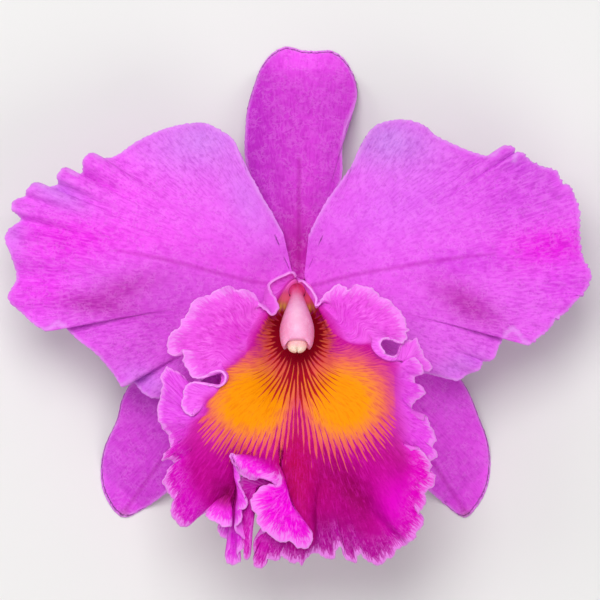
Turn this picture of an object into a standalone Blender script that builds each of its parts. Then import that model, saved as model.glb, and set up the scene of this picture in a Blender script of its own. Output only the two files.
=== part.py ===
"""Cattleya orchid bloom, picked and lying on its back, face up.

Frame: metres, +Z up out of the face of the bloom, +Y to its upright sepal, +X to the right of
someone who looks at its face. Outlines are in millimetres for a bloom of DRAWN_SPREAD, and
SPREAD scales them.
"""

import math

import bpy
import numpy as np

# Driving dimensions, in millimetres
SPREAD = 160.0
DRAWN_SPREAD = 160.0
UNIT = SPREAD / DRAWN_SPREAD * 0.001

PETAL_THICK = 0.7
SEPAL_THICK = 0.8
LIP_THICK = 0.7

# Where the midline of each sepal comes down on the surface, how its arch bends on the way there
# and how far its sides roll back
DORSAL_TOUCH = (0.8, 65.5)
LEFT_TOUCH = (-45.7, -53.2)
RIGHT_TOUCH = (42.7, -52.3)
SEPAL_ARCH = 2.1
SEPAL_ROLL = 0.011
# A petal rises from the hub at this slope, stops rising halfway out and droops beside its midrib
PETAL_SLOPE = 0.24
PETAL_LENGTH = 88.0
PETAL_DROOP = 0.0038
MIDRIB_LEFT = 0.19
MIDRIB_RIGHT = 0.17

# Heights of the layers where they meet, in millimetres above the surface
HUB = (0.0, 5.0)
OVARY_TOP = 23.85
SEPAL_ROOT = 24.75
PETAL_ROOT = 25.9
LIP_ROOT = 27.2
COLUMN_FOOT = 24.4

# How many columns and rows each sheet has
PETAL_COLUMNS = 64
SEPAL_COLUMNS = 32
LIP_COLUMNS = 256

# The outlines run from one side of the root round to the other.
# A petal's point is x, y and how far its wave stands above the blade.
PETAL_LEFT = (
    (-4.2, 20.0, 0.0), (-7.0, 25.0, 0.0), (-10.0, 30.0, 0.2), (-13.8, 37.0, 0.4), (-15.8, 40.8, 0.5),
    (-17.9, 45.6, 0.6), (-21.2, 48.0, 0.2), (-25.5, 50.0, -0.4), (-30.0, 49.9, 0.3), (-34.5, 49.0, 0.9),
    (-38.3, 47.8, 0.2), (-44.3, 44.9, -0.6), (-50.3, 40.9, -1.3), (-53.6, 40.4, -0.6), (-56.6, 41.8, 1.4),
    (-58.7, 40.2, 2.4), (-59.2, 36.4, -1.6), (-61.4, 36.1, -2.0), (-63.9, 37.8, 0.8), (-65.9, 35.8, 2.2),
    (-65.8, 33.3, -1.0), (-69.4, 32.6, -1.5), (-72.0, 33.7, 0.8), (-74.2, 31.8, 1.9), (-74.8, 30.0, -0.4),
    (-77.6, 28.9, 0.2), (-78.5, 26.9, 1.5), (-75.9, 23.7, -2.2), (-79.2, 20.9, -0.4), (-80.2, 18.3, 1.6),
    (-78.6, 14.0, 1.2), (-77.1, 7.6, -1.5), (-79.4, 2.1, 1.4), (-75.6, -1.9, 0.2), (-72.4, -4.9, 1.4),
    (-69.0, -6.7, 2.6), (-65.6, -4.8, -3.2), (-60.0, -9.5, 0.4), (-55.6, -12.8, 0.9), (-52.0, -16.8, 0.4),
    (-50.0, -19.4, 0.8), (-48.4, -21.9, 2.4), (-45.5, -20.6, -3.0), (-42.4, -23.9, 0.8), (-39.6, -25.2, 1.6),
    (-35.0, -24.4, 0.0), (-28.0, -21.5, 0.0), (-20.0, -14.0, 0.0), (-12.0, -4.5, 0.0),
)
PETAL_RIGHT = (
    (14.0, -5.5, 0.0), (24.0, -13.5, 0.0), (31.0, -17.8, 0.0), (36.0, -18.6, -0.4), (40.4, -19.7, 0.6),
    (43.8, -20.3, 1.0), (46.2, -18.7, 0.2), (49.6, -17.3, 1.2), (50.5, -15.2, -0.8), (53.2, -14.6, 0.8),
    (55.0, -10.6, -0.2), (58.5, -6.2, -3.4), (61.3, -9.5, 1.4), (63.2, -10.5, 2.8), (65.4, -8.8, 1.0),
    (68.2, -6.7, 0.2), (70.0, -4.2, 0.8), (72.9, -1.9, 0.0), (75.4, 0.9, 0.9), (78.4, 4.0, 0.2),
    (80.0, 8.6, 1.2), (77.8, 13.2, -0.8), (76.9, 19.5, 0.4), (76.8, 26.2, 0.9), (75.5, 30.0, -0.4),
    (74.2, 32.8, 0.9), (72.4, 33.4, -0.6), (70.4, 37.0, 0.8), (66.4, 38.2, 1.2), (63.6, 39.6, -0.8),
    (61.0, 42.0, 1.6), (59.6, 41.8, 0.6), (58.8, 39.6, -2.6), (58.8, 43.4, 2.2), (56.2, 43.7, 1.4),
    (52.9, 41.1, -1.2), (47.6, 42.1, -0.6), (41.8, 44.5, 0.6), (37.4, 46.7, -0.2), (34.6, 49.2, 0.8),
    (30.2, 50.8, 0.2), (25.6, 50.8, -0.6), (20.9, 49.2, 0.4), (17.9, 45.4, 0.8), (15.6, 40.0, 0.4),
    (12.0, 34.7, 0.2), (8.4, 29.8, 0.2), (5.0, 24.0, 0.0), (2.8, 19.5, 0.0),
)
# A sepal's point is x and y.
DORSAL_SEPAL = (
    (6.2, 20.0), (9.8, 28.0), (11.9, 36.0), (12.0, 43.5), (13.4, 50.0), (15.6, 55.4), (16.2, 59.0),
    (15.2, 63.6), (12.4, 68.3), (9.0, 70.4), (5.0, 70.3), (1.0, 70.5), (-3.4, 71.5), (-7.2, 69.7),
    (-10.1, 66.2), (-12.2, 60.8), (-14.0, 54.4), (-14.6, 48.0), (-14.6, 40.5), (-12.6, 32.0), (-8.8, 24.0),
    (-5.6, 17.5),
)
LATERAL_SEPAL_LEFT = (
    (-12.0, -2.0), (-24.0, -7.5), (-36.0, -13.5), (-44.6, -19.6), (-48.4, -25.4), (-50.0, -31.4),
    (-53.4, -38.8), (-54.5, -44.8), (-54.1, -50.2), (-51.8, -55.2), (-49.4, -57.8), (-47.6, -58.3),
    (-43.0, -56.1), (-38.6, -53.2), (-35.0, -50.2), (-29.0, -44.0), (-21.5, -34.5), (-14.0, -23.0),
    (-7.0, -11.0),
)
LATERAL_SEPAL_RIGHT = (
    (7.0, -11.0), (13.5, -23.0), (20.5, -34.5), (28.0, -44.5), (35.0, -50.2), (40.0, -54.4), (44.2, -57.7),
    (46.2, -58.3), (49.0, -55.6), (51.8, -50.6), (52.9, -44.6), (52.2, -37.6), (50.0, -31.5), (45.4, -21.4),
    (38.0, -14.0), (26.0, -7.0), (13.0, -1.5),
)

# The lip's margin in runs, counter-clockwise from the slit behind the column. Each run says which
# part of the mouth it grows from, in degrees, and the path along which the sheet bends on its way
# there, or None where it goes straight. Then come its points: x, y, z and, where a point has a bend
# of its own, that bend's x, y and z.
LIP_MARGIN = (
    ("left flap", 93, 150, None, (
        (-0.7, 8.0, 37.4, -0.9, 7.9, 35.8), (-1.6, 9.3, 39.0, -2.0, 8.7, 37.0),
        (-4.0, 8.4, 40.2, -4.6, 7.9, 38.0), (-6.5, 7.2, 41.4, -6.7, 6.8, 39.0),
        (-8.0, 5.9, 42.5, -8.6, 5.0, 40.0), (-7.8, 4.6, 43.5, -9.1, 3.8, 40.5),
        (-6.6, 2.6, 44.5, -9.5, 2.0, 41.5), (-5.4, 0.6, 45.5, -9.5, 0.4, 42.5),
        (-5.5, -1.0, 46.5, -8.8, -0.8, 44.0), (-7.0, -2.4, 47.0, -7.6, -1.8, 45.5),
    )),
    ("left ear", 152, 200, None, (
        (-8.6, -1.2, 47.5), (-10.2, 0.0, 47.0), (-11.2, 1.2, 46.0), (-12.0, 3.0, 45.5), (-13.8, 4.3, 46.0),
        (-16.0, 4.5, 47.5), (-17.2, 4.3, 46.0), (-18.8, 5.6, 44.5), (-20.5, 5.0, 46.0), (-22.2, 4.4, 47.5),
        (-24.8, 2.8, 46.0), (-27.5, 2.1, 47.0), (-29.3, 0.4, 48.5), (-30.0, -1.8, 47.0), (-31.8, -3.9, 46.0),
        (-32.4, -5.9, 47.5), (-34.3, -6.9, 47.0), (-35.5, -9.3, 45.5), (-35.6, -12.0, 45.0),
        (-34.4, -13.5, 46.0), (-32.6, -13.0, 47.5), (-31.6, -11.8, 49.0), (-31.2, -13.4, 48.5),
        (-31.4, -15.2, 47.5), (-30.2, -17.0, 48.0), (-29.3, -18.8, 48.5), (-27.9, -19.7, 49.5),
    )),
    ("left pleat", 200, 208, None, (
        (-25.5, -19.2, 51.0, -20.6, -17.4, 50.4), (-23.5, -18.0, 51.6, -19.8, -17.5, 50.3),
        (-21.2, -17.7, 52.2, -19.0, -17.6, 50.2), (-19.9, -19.0, 52.4, -18.6, -18.4, 50.1),
        (-20.4, -20.9, 52.2, -18.9, -19.6, 50.0), (-22.0, -21.8, 51.6, -19.6, -20.6, 50.0),
        (-24.5, -21.2, 50.8, -20.6, -21.4, 50.0), (-27.0, -20.7, 49.8, -21.6, -22.2, 50.0),
    )),
    ("left inner frill", 208, 216, ((-22.4, -22.8, 49.9), (-24.2, -26.4, 49.6)), (
        (-28.8, -20.6, 49.0), (-30.4, -21.4, 48.2), (-31.3, -23.5, 47.6), (-31.5, -25.5, 47.6),
        (-31.9, -27.0, 48.0), (-30.6, -29.0, 48.8), (-29.0, -29.9, 49.6), (-28.5, -28.6, 49.6),
    )),
    ("left outer frill", 216, 226, ((-24.4, -26.8, 49.4), (-26.4, -30.8, 49.2)), (
        (-29.4, -26.6, 47.4), (-29.8, -23.6, 46.0), (-30.3, -21.0, 45.4), (-31.2, -19.2, 45.2),
        (-32.8, -17.8, 44.8), (-34.6, -17.1, 44.6), (-35.8, -16.3, 44.0), (-36.6, -17.8, 43.6),
        (-37.7, -19.2, 44.5), (-36.9, -20.6, 45.5), (-37.2, -22.5, 45.0), (-37.6, -25.0, 44.0),
        (-38.3, -27.5, 43.6), (-38.3, -29.5, 44.5), (-37.8, -31.6, 45.0), (-36.6, -33.6, 44.2),
        (-35.4, -35.0, 43.8),
    )),
    ("left lobe", 226, 240, ((-26.6, -31.4, 49.2), (-24.0, -44.0, 50.2)), (
        (-35.0, -37.0, 44.5), (-34.8, -38.8, 45.0), (-36.4, -40.0, 44.0), (-37.2, -42.0, 43.0),
        (-35.4, -41.6, 43.6), (-33.6, -42.6, 43.4), (-32.2, -45.2, 43.8), (-33.6, -45.0, 45.4),
        (-35.0, -44.1, 46.0), (-36.2, -46.2, 45.5), (-37.0, -48.0, 44.5), (-35.8, -49.8, 44.0),
        (-34.9, -51.7, 44.5), (-33.9, -52.6, 45.0), (-34.7, -54.8, 44.5), (-34.6, -56.7, 43.5),
        (-33.0, -59.0, 43.0, -23.6, -45.0, 50.0), (-31.1, -60.2, 42.5, -22.4, -47.0, 49.6),
        (-29.6, -59.4, 42.2, -21.4, -48.4, 48.4), (-27.8, -57.6, 42.0, -20.2, -49.4, 46.4),
    )),
    ("left front frill", 240, 243, (
        (-20.0, -48.4, 45.8), (-18.4, -49.2, 45.4), (-17.4, -49.2, 45.6),
    ), (
        (-26.4, -56.8, 42.4), (-25.0, -56.0, 45.0), (-25.1, -57.4, 46.4), (-23.0, -58.4, 46.8),
        (-21.7, -59.2, 47.2), (-20.0, -60.0, 48.0), (-18.4, -59.8, 47.4),
    )),
    ("left lower lobe", 243, 245, (
        (-17.2, -48.8, 45.0), (-16.8, -49.0, 44.4), (-16.4, -48.8, 44.6), (-15.8, -48.2, 45.6),
    ), (
        (-20.6, -59.4, 44.6), (-22.0, -60.8, 42.4), (-21.4, -62.2, 41.6), (-19.6, -63.6, 41.0),
        (-18.1, -64.6, 41.0), (-18.6, -66.4, 41.0), (-19.9, -68.4, 40.5), (-19.4, -70.0, 40.2),
        (-17.6, -70.4, 40.4), (-15.9, -69.6, 41.4), (-16.6, -67.4, 43.2), (-15.4, -66.2, 44.0),
        (-14.0, -65.0, 44.6), (-14.6, -63.4, 45.2), (-16.4, -61.9, 45.8), (-17.2, -60.4, 46.6),
    )),
    ("left side of the fold", 245, 248, None, (
        (-16.6, -59.4, 47.5, -15.8, -47.8, 46.4), (-15.4, -58.2, 48.0, -15.8, -47.4, 46.9),
        (-15.8, -56.4, 47.6, -15.2, -47.6, 47.2), (-16.1, -55.3, 47.6, -15.8, -47.0, 47.6),
        (-14.9, -55.2, 48.2, -16.2, -46.4, 48.0), (-13.8, -54.2, 48.6, -16.4, -45.8, 48.3),
        (-14.0, -52.8, 48.9, -16.6, -45.2, 48.6), (-15.2, -50.6, 49.2, -16.8, -44.4, 49.0),
        (-16.2, -48.0, 49.6, -16.8, -43.2, 49.6), (-15.7, -46.2, 50.2, -16.8, -42.0, 50.2),
        (-16.4, -44.6, 50.8, -17.0, -40.8, 50.7), (-17.8, -42.6, 51.6, -17.2, -39.8, 51.2),
        (-18.5, -41.0, 52.2, -17.2, -39.0, 51.7), (-17.9, -40.2, 52.8, -16.8, -38.6, 52.2),
    )),
    ("folded flap", 248, 257, None, (
        (-17.5, -41.6, 52.6, -16.2, -39.4, 53.2), (-16.4, -43.9, 52.2, -15.2, -40.9, 53.6),
        (-15.2, -45.9, 52.0, -13.8, -42.0, 53.8), (-13.4, -46.9, 51.8, -12.3, -43.0, 53.9),
        (-11.8, -47.1, 51.8, -10.9, -44.1, 53.8), (-10.4, -46.1, 52.2, -9.5, -44.9, 53.7),
        (-8.6, -46.4, 52.6, -7.9, -45.5, 53.6), (-6.6, -47.4, 52.8, -6.2, -46.2, 53.8),
        (-6.4, -48.5, 52.4, -5.6, -46.8, 53.7), (-8.2, -48.6, 51.8, -5.2, -47.2, 53.5),
        (-10.4, -49.2, 51.4, -4.9, -47.6, 53.3), (-12.0, -51.0, 51.0, -4.6, -48.0, 53.1),
        (-13.0, -52.6, 50.6, -4.4, -48.4, 52.9), (-12.7, -54.8, 50.8, -4.1, -48.8, 52.7),
        (-11.3, -56.8, 51.0, -3.9, -49.2, 52.5), (-11.4, -58.4, 50.4, -3.7, -49.6, 52.4),
        (-10.0, -60.6, 50.0, -3.5, -50.0, 52.2), (-8.2, -61.8, 50.2, -3.2, -50.4, 52.0),
        (-6.2, -63.4, 49.6, -2.9, -50.8, 51.9), (-4.4, -64.2, 49.4, -2.6, -51.2, 51.8),
        (-2.4, -63.7, 49.8, -2.3, -51.6, 51.7), (-0.8, -65.2, 49.0, -2.0, -51.9, 51.5),
        (1.9, -65.9, 48.8, -1.7, -52.2, 51.4), (3.5, -64.4, 49.2, -1.5, -52.4, 51.2),
        (3.9, -62.4, 49.6, -1.4, -52.4, 50.9),
    )),
    ("under the flap", 257, 265, (
        (-1.6, -52.2, 50.3), (-6.0, -48.0, 49.8), (-10.2, -45.8, 49.2), (-10.8, -46.6, 48.4),
        (-10.0, -47.6, 48.0), (-6.6, -50.2, 47.9), (-5.2, -51.4, 48.0), (-3.8, -52.2, 48.3),
    ), (
        (2.4, -60.2, 48.2), (-2.2, -56.6, 48.2), (-5.2, -51.0, 49.0), (-8.2, -46.8, 49.6),
        (-11.8, -44.9, 49.8), (-15.2, -45.8, 48.8), (-16.4, -48.6, 47.4), (-16.0, -52.4, 46.2),
        (-15.9, -57.0, 45.0), (-15.4, -62.0, 44.8), (-15.0, -66.0, 44.4), (-14.6, -68.8, 44.0),
        (-13.6, -69.0, 44.2), (-13.4, -66.8, 44.8), (-13.3, -64.0, 45.4), (-13.3, -60.0, 46.0),
        (-12.9, -56.6, 46.4), (-11.6, -53.8, 46.8), (-9.2, -53.4, 46.8), (-7.8, -56.0, 46.4),
        (-7.9, -59.4, 46.6), (-9.4, -61.6, 45.8),
        (-11.4, -62.9, 44.6), (-12.4, -65.2, 43.4), (-12.0, -67.6, 43.0), (-12.4, -69.6, 42.8),
        (-11.0, -71.4, 43.0), (-9.3, -70.8, 43.6),
    )),
    ("lower frills", 265, 294, None, (
        (-8.6, -68.8, 44.7, -3.4, -52.6, 48.6), (-7.0, -69.1, 44.2, -2.8, -53.2, 48.8),
        (-5.6, -69.2, 44.2, -2.0, -53.9, 49.0), (-4.5, -67.8, 45.2, -1.3, -54.6, 49.2),
        (-3.0, -69.2, 44.7, -0.4, -55.4, 49.4), (-1.3, -69.9, 44.2, 0.4, -56.0, 49.6),
        (0.0, -69.6, 44.7, 1.2, -56.6, 49.8), (0.7, -70.6, 44.2, 1.9, -57.0, 49.9),
        (1.9, -68.9, 44.7, 2.6, -57.2, 50.0), (4.2, -67.0, 44.4, 3.8, -57.2, 49.8),
        (6.0, -67.8, 43.5), (8.9, -69.0, 42.5), (9.8, -68.4, 43.0), (10.2, -66.4, 44.2), (11.4, -65.4, 44.6),
        (12.3, -66.8, 44.0), (12.7, -68.6, 43.0), (14.4, -69.6, 42.5), (15.7, -69.7, 43.0),
        (16.0, -68.0, 44.2), (16.8, -67.2, 44.6), (18.0, -68.8, 43.4, 13.0, -51.6, 47.8),
        (20.2, -70.0, 42.8, 14.2, -52.2, 47.4), (21.4, -70.6, 43.0, 15.2, -52.6, 47.0),
        (23.3, -69.7, 43.6, 16.2, -52.8, 46.6), (24.2, -68.7, 44.4, 17.2, -52.8, 46.4),
        (26.1, -67.9, 43.8, 18.2, -53.0, 46.2), (26.4, -66.4, 43.8, 19.0, -53.2, 46.2),
        (27.6, -65.8, 43.4, 19.8, -53.6, 46.4), (29.2, -65.0, 43.8, 20.6, -53.8, 47.2),
    )),
    ("right lobe", 294, 326, ((24.6, -50.0, 51.0), (25.4, -34.8, 50.2)), (
        (30.4, -63.9, 46.0, 21.2, -53.6, 49.4), (31.7, -63.3, 45.0, 21.8, -53.0, 50.4),
        (32.0, -61.7, 45.8, 22.6, -51.8, 50.8), (33.4, -60.1, 45.2, 23.4, -50.2, 51.0),
        (34.2, -58.0, 44.8, 23.8, -48.4, 51.0), (32.8, -56.3, 46.2), (34.1, -54.4, 45.6), (34.8, -52.4, 45.2),
        (34.3, -51.0, 46.0), (34.9, -50.1, 46.4), (36.4, -49.2, 45.6), (37.2, -47.0, 45.0),
        (36.9, -45.6, 45.4), (35.6, -44.9, 46.4), (36.2, -43.4, 47.2), (35.6, -41.9, 48.0),
        (34.4, -40.4, 49.0), (32.8, -38.7, 49.8), (31.0, -39.2, 50.0),
    )),
    ("right frills", 326, 342, ((25.5, -34.2, 50.2), (25.2, -17.6, 50.2)), (
        (31.8, -40.2, 47.6), (34.4, -41.6, 45.6), (36.2, -42.0, 44.8), (37.5, -41.0, 44.4),
        (37.7, -39.6, 44.5), (36.4, -38.4, 45.2), (36.4, -37.6, 45.6), (37.5, -36.8, 45.0),
        (37.1, -35.4, 45.4), (36.7, -33.7, 45.0), (35.6, -32.3, 46.0), (35.1, -30.2, 46.0),
        (34.4, -29.8, 46.6), (33.8, -31.2, 47.6), (32.8, -30.2, 47.4), (31.6, -28.9, 46.8),
        (30.6, -28.2, 46.4), (30.9, -27.0, 46.6), (31.8, -25.8, 46.0), (33.4, -24.7, 45.4),
        (34.6, -23.4, 45.0), (33.6, -22.0, 45.6), (31.7, -20.8, 46.6), (31.4, -19.6, 47.2),
        (32.3, -18.8, 47.4, 25.4, -16.8, 50.4),
    )),
    ("right outer frill", 342, 351, None, (
        (33.6, -18.5, 48.0, 26.0, -16.4, 50.6), (33.8, -16.8, 48.6, 26.3, -15.8, 50.9),
        (32.8, -15.0, 49.0, 26.4, -15.3, 51.1), (31.6, -14.1, 49.4, 26.4, -15.0, 51.2),
        (32.6, -14.4, 47.6, 26.8, -15.0, 50.6), (34.2, -16.4, 46.6, 27.2, -15.2, 50.2),
        (35.0, -17.8, 46.0, 27.6, -15.4, 49.9), (36.2, -17.3, 45.6, 27.9, -15.3, 49.8),
        (35.9, -15.6, 46.0, 28.0, -15.0, 49.8), (34.3, -14.0, 46.5, 28.0, -14.6, 49.9),
        (33.6, -12.2, 46.6, 27.9, -14.4, 50.0), (32.6, -10.0, 47.0, 27.7, -14.2, 50.1),
        (32.0, -8.7, 46.6, 27.5, -14.1, 50.0), (30.8, -9.2, 46.8, 27.2, -14.1, 50.0),
    )),
    ("right pleat", 351, 357, None, (
        (29.0, -9.5, 47.2, 26.6, -14.2, 50.4), (27.8, -10.6, 48.6, 25.8, -14.6, 50.9),
        (27.2, -12.9, 50.2, 24.8, -14.9, 51.4), (25.6, -13.7, 51.6, 22.4, -14.2, 51.8),
        (23.8, -12.8, 52.2, 20.0, -12.4, 52.0), (22.5, -10.8, 52.6, 18.8, -10.4, 52.0),
        (22.7, -9.3, 52.4, 19.0, -9.0, 51.8), (24.2, -8.8, 51.6, 20.0, -8.4, 51.4),
        (26.2, -9.4, 51.0, 21.4, -8.0, 51.0), (28.1, -10.1, 50.4, 22.4, -7.4, 50.6),
    )),
    ("right ear", 358, 388, None, (
        (29.4, -8.8, 49.2), (29.3, -7.2, 48.0), (30.1, -6.5, 47.0), (29.3, -5.8, 47.0), (29.3, -4.6, 47.0),
        (28.4, -2.6, 47.6), (27.4, -1.0, 46.6), (26.0, 0.0, 46.0), (25.3, 1.2, 47.0), (23.4, 2.1, 47.2),
        (22.0, 2.7, 46.0), (21.2, 3.9, 46.2), (19.6, 5.0, 47.2), (17.5, 5.4, 47.0), (15.8, 5.9, 46.0),
        (14.6, 5.1, 45.6), (13.4, 4.4, 46.8), (12.6, 5.3, 46.0), (11.2, 5.9, 45.4), (9.6, 5.4, 46.2),
        (8.7, 4.3, 46.6), (7.4, 3.6, 46.0), (6.4, 2.3, 45.4), (5.6, 0.6, 45.6),
    )),
    ("right flap", 391, 447, None, (
        (4.8, 0.2, 45.4, 4.8, -0.6, 43.8), (5.0, 1.6, 44.8, 4.4, 0.6, 42.6), (4.6, 3.0, 44.0, 3.7, 2.0, 41.4),
        (3.8, 4.3, 43.0, 3.0, 3.4, 40.2), (2.8, 5.4, 42.0, 2.3, 4.7, 39.0), (1.8, 6.4, 41.0, 1.6, 5.9, 37.8),
        (0.8, 6.9, 39.8, 0.8, 6.8, 36.8), (0.0, 6.6, 38.6, -0.2, 7.1, 35.9),
    )),
)

# The throat of the lip: a ring round the column's foot, one halfway up the tube and the mouth
FOOT_CENTRE = (-0.4, 3.9)
FOOT_RADIUS = 2.65
TUBE_CENTRE = (-0.3, 3.4)
TUBE_RADII = (4.2, 3.4, 6.4)
TUBE_HEIGHT = 32.4
TUBE_BACK_RISE = 1.6
TUBE_FRONT_DROP = 2.6
MOUTH_CENTRE = (-0.8, -9.0)
MOUTH_RADII = (10.3, 9.0)
MOUTH_TOP = 16.6
MOUTH_PINCH = 0.56
MOUTH_HEIGHT = 46.0
MOUTH_BACK_DROP = 10.8
MOUTH_FRONT_DROP = 6.5
APRON_WIDTH = 6.5
APRON_LENGTH = 12.0
APRON_RISE = 1.8
APRON_FRONT_RISE = 7.5
BEND_SHARE = 0.62
FOLD_REACH = 4.0
RING_PLACES = (0.0, 0.12, 0.27, 0.42, 0.72, 1.0)

# Spine of the column: y, z and its half width. Two horns at its end hold the cap between them.
COLUMN_SPINE = (
    (4.0, COLUMN_FOOT, 1.3), (4.0, 26.2, 1.5), (3.9, 28.4, 1.8), (3.5, 31.0, 1.7), (2.9, 34.0, 1.7),
    (1.5, 38.0, 2.1), (-1.0, 42.2, 3.0), (-3.6, 45.2, 4.0), (-6.0, 46.9, 4.65), (-8.0, 47.9, 4.65),
    (-9.2, 48.4, 4.3), (-10.0, 48.7, 3.7),
)
COLUMN_MIDDLE = -0.4
COLUMN_HORN = 2.4
COLUMN_SEAT = 3.15
CAP_RADIUS = 2.6
CAP_HEIGHT = 2.3
CAP_GAP = 0.45
# Spine of the stalk behind the bloom, the same way
STALK_SPINE = (
    (5.0, OVARY_TOP, 5.1), (5.0, 23.1, 4.7), (4.9, 21.4, 3.5), (4.6, 18.0, 3.2), (3.0, 13.4, 3.4),
    (-0.6, 9.6, 3.7), (-6.0, 6.9, 3.8), (-13.0, 5.4, 3.3), (-22.0, 4.7, 2.8), (-32.0, 4.8, 2.6), (-41.0, 5.4, 2.7),
)
STALK_RIBS = 6
STALK_RIB_DEPTH = 0.07


def spline(points, knots, at):
    """Smooth curve through the points, which stand at the knots, read at each value of at."""
    points = np.asarray(points, float)
    slopes = np.gradient(points, knots, axis=0)
    cell = np.clip(np.searchsorted(knots, at, side="right") - 1, 0, len(knots) - 2)
    shape = (-1,) + (1,) * (points.ndim - 1)
    width = (knots[cell + 1] - knots[cell]).reshape(shape)
    t = ((at - knots[cell]) / (knots[cell + 1] - knots[cell])).reshape(shape)
    start = points[cell] * (1 + 2 * t) * (1 - t) ** 2 + slopes[cell] * width * t * (1 - t) ** 2
    end = points[cell + 1] * (3 - 2 * t) * t**2 - slopes[cell + 1] * width * t**2 * (1 - t)
    return start + end


def knots_of(points):
    """Knots for a curve whose points stand unevenly: the root of each gap, so that it doesn't loop."""
    gaps = np.linalg.norm(np.diff(np.asarray(points, float), axis=0), axis=1)
    return np.concatenate([[0.0], np.cumsum(np.sqrt(gaps))])


def even_places(points, knots, columns):
    """Where to read the curve so that its columns are equally far apart."""
    fine = np.linspace(knots[0], knots[-1], 30 * len(knots))
    steps = np.linalg.norm(np.diff(spline(points, knots, fine), axis=0), axis=1)
    length = np.concatenate([[0.0], np.cumsum(steps)])
    return np.interp(np.linspace(0.0, length[-1], columns + 1), length, fine)


def softened(curve, reach):
    """The curve averaged over a length of about reach on each side, with its ends left in place."""
    steps = np.linalg.norm(np.diff(curve, axis=0), axis=1)
    length = np.concatenate([[0.0], np.cumsum(steps)])
    weight = np.exp(-0.5 * ((length[:, None] - length[None, :]) / reach) ** 2)
    average = weight @ curve / weight.sum(axis=1)[:, None]
    held = np.clip(np.minimum(length, length[-1] - length) / (2 * reach), 0.0, 1.0)[:, None]
    return curve + (average - curve) * held


def ease(value):
    value = np.clip(value, 0.0, 1.0)
    return value * value * (3 - 2 * value)


def make_material(name, colour, roughness):
    material = bpy.data.materials.new(name)
    material.use_nodes = True
    shader = material.node_tree.nodes["Principled BSDF"]
    shader.inputs["Base Color"].default_value = (*colour, 1.0)
    shader.inputs["Roughness"].default_value = roughness
    shader.inputs["Metallic"].default_value = 0.0
    material.diffuse_color = (*colour, 1.0)
    return material


def add_object(name, points, faces, material):
    """A mesh object from points in millimetres and triangles."""
    mesh = bpy.data.meshes.new(name)
    mesh.from_pydata([tuple(point) for point in np.asarray(points) * UNIT], [], faces)
    mesh.update()
    mesh.shade_smooth()
    mesh.materials.append(material)
    made = bpy.data.objects.new(name, mesh)
    bpy.context.scene.collection.objects.link(made)
    return made


def sheet_faces(counts):
    """Triangles between rows of the given lengths. A row has as many steps as the one before, or double."""
    faces = []
    start = 0
    for here, after in zip(counts[:-1], counts[1:]):
        above = start + here
        if after == here:
            for i in range(here - 1):
                a, b, c, d = start + i, start + i + 1, above + i + 1, above + i
                if i % 2:
                    faces += [(a, b, c), (a, c, d)]
                else:
                    faces += [(a, b, d), (b, c, d)]
        else:
            for i in range(here - 1):
                a, b = start + i, start + i + 1
                low, middle, high = above + 2 * i, above + 2 * i + 1, above + 2 * i + 2
                faces += [(a, middle, low), (a, b, middle), (b, high, middle)]
        start = above
    return faces


def add_sheet(name, rows, thickness, material):
    """A closed sheet of even thickness round the surface that the rows draw, split alike on both faces."""
    middle = np.concatenate(rows)
    faces = np.array(sheet_faces([len(row) for row in rows]))
    corners = middle[faces]
    across = np.cross(corners[:, 1] - corners[:, 0], corners[:, 2] - corners[:, 0])
    if across[:, 2].sum() < 0:
        faces = faces[:, ::-1]
        across = -across
    normals = np.zeros_like(middle)
    for corner in range(3):
        np.add.at(normals, faces[:, corner], across)
    normals /= np.linalg.norm(normals, axis=1)[:, None]
    points = np.concatenate([middle + normals * thickness / 2, middle - normals * thickness / 2])
    under = len(middle)
    edges = {(int(face[i]), int(face[(i + 1) % 3])) for face in faces for i in range(3)}
    rim = []
    for a, b in sorted(edges):
        if (b, a) not in edges:
            rim += [(b, a, a + under), (b, a + under, b + under)]
    both = faces.tolist() + (faces[:, ::-1] + under).tolist() + rim
    return add_object(name, points, both, material)


def blade_rows(root, margin, height, columns, places, reach):
    """Rows of a blade whose columns run from its root to its margin, in plan.

    The waves of the margin fade towards the root, and height gives the blade's own form.
    """
    margin = np.array([tuple(point) + (0.0,) * (3 - len(point)) for point in margin])
    knots = knots_of(margin)
    edge = spline(margin, knots, even_places(margin, knots, columns))
    soft = softened(edge, reach)
    share = np.linspace(0.0, 1.0, columns + 1)[:, None]
    root = np.array(root)
    foot = root[0] + (root[1] - root[0]) * share
    rows = []
    for v, halvings in places:
        waved = ease((v - 0.45) / 0.55)
        target = soft + (edge - soft) * waved
        row = np.empty((columns + 1, 3))
        row[:, :2] = foot + (target[:, :2] - foot) * v
        row[:, 2] = height(row[:, 0], row[:, 1]) + target[:, 2] * ease((v - 0.35) / 0.65)
        rows.append(row[:: 2**halvings])
    return rows


def petal_height(x, y, side):
    """Height of a petal's blade: up a little from the hub, and drooping away from its midrib."""
    run = np.hypot(x - HUB[0], y - HUB[1])
    off = y - HUB[1] - run * (MIDRIB_LEFT if side < 0 else MIDRIB_RIGHT)
    rise = PETAL_SLOPE * run * (1 - run / PETAL_LENGTH)
    droop = PETAL_DROOP * off**2 * ease(run / 40.0)
    return PETAL_ROOT + ease((run - 3.5) / 12.0) * (rise - droop)


def sepal_height(x, y, touch):
    """Height of a sepal's blade: it arches back until its tip lies flat on the surface."""
    ahead = np.subtract(touch, HUB)
    reach = np.hypot(*ahead)
    run = np.hypot(x - HUB[0], y - HUB[1])
    aside = ((x - HUB[0]) * ahead[1] - (y - HUB[1]) * ahead[0]) / reach
    share = np.clip(run / reach, 0.0, 1.0)
    arch = SEPAL_ROOT - (SEPAL_ROOT - SEPAL_THICK / 2) * share**SEPAL_ARCH
    roll = SEPAL_ROLL * aside**2 * 4 * share * (1 - share)
    return np.where(run > reach, SEPAL_THICK / 2, arch - roll)


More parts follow.
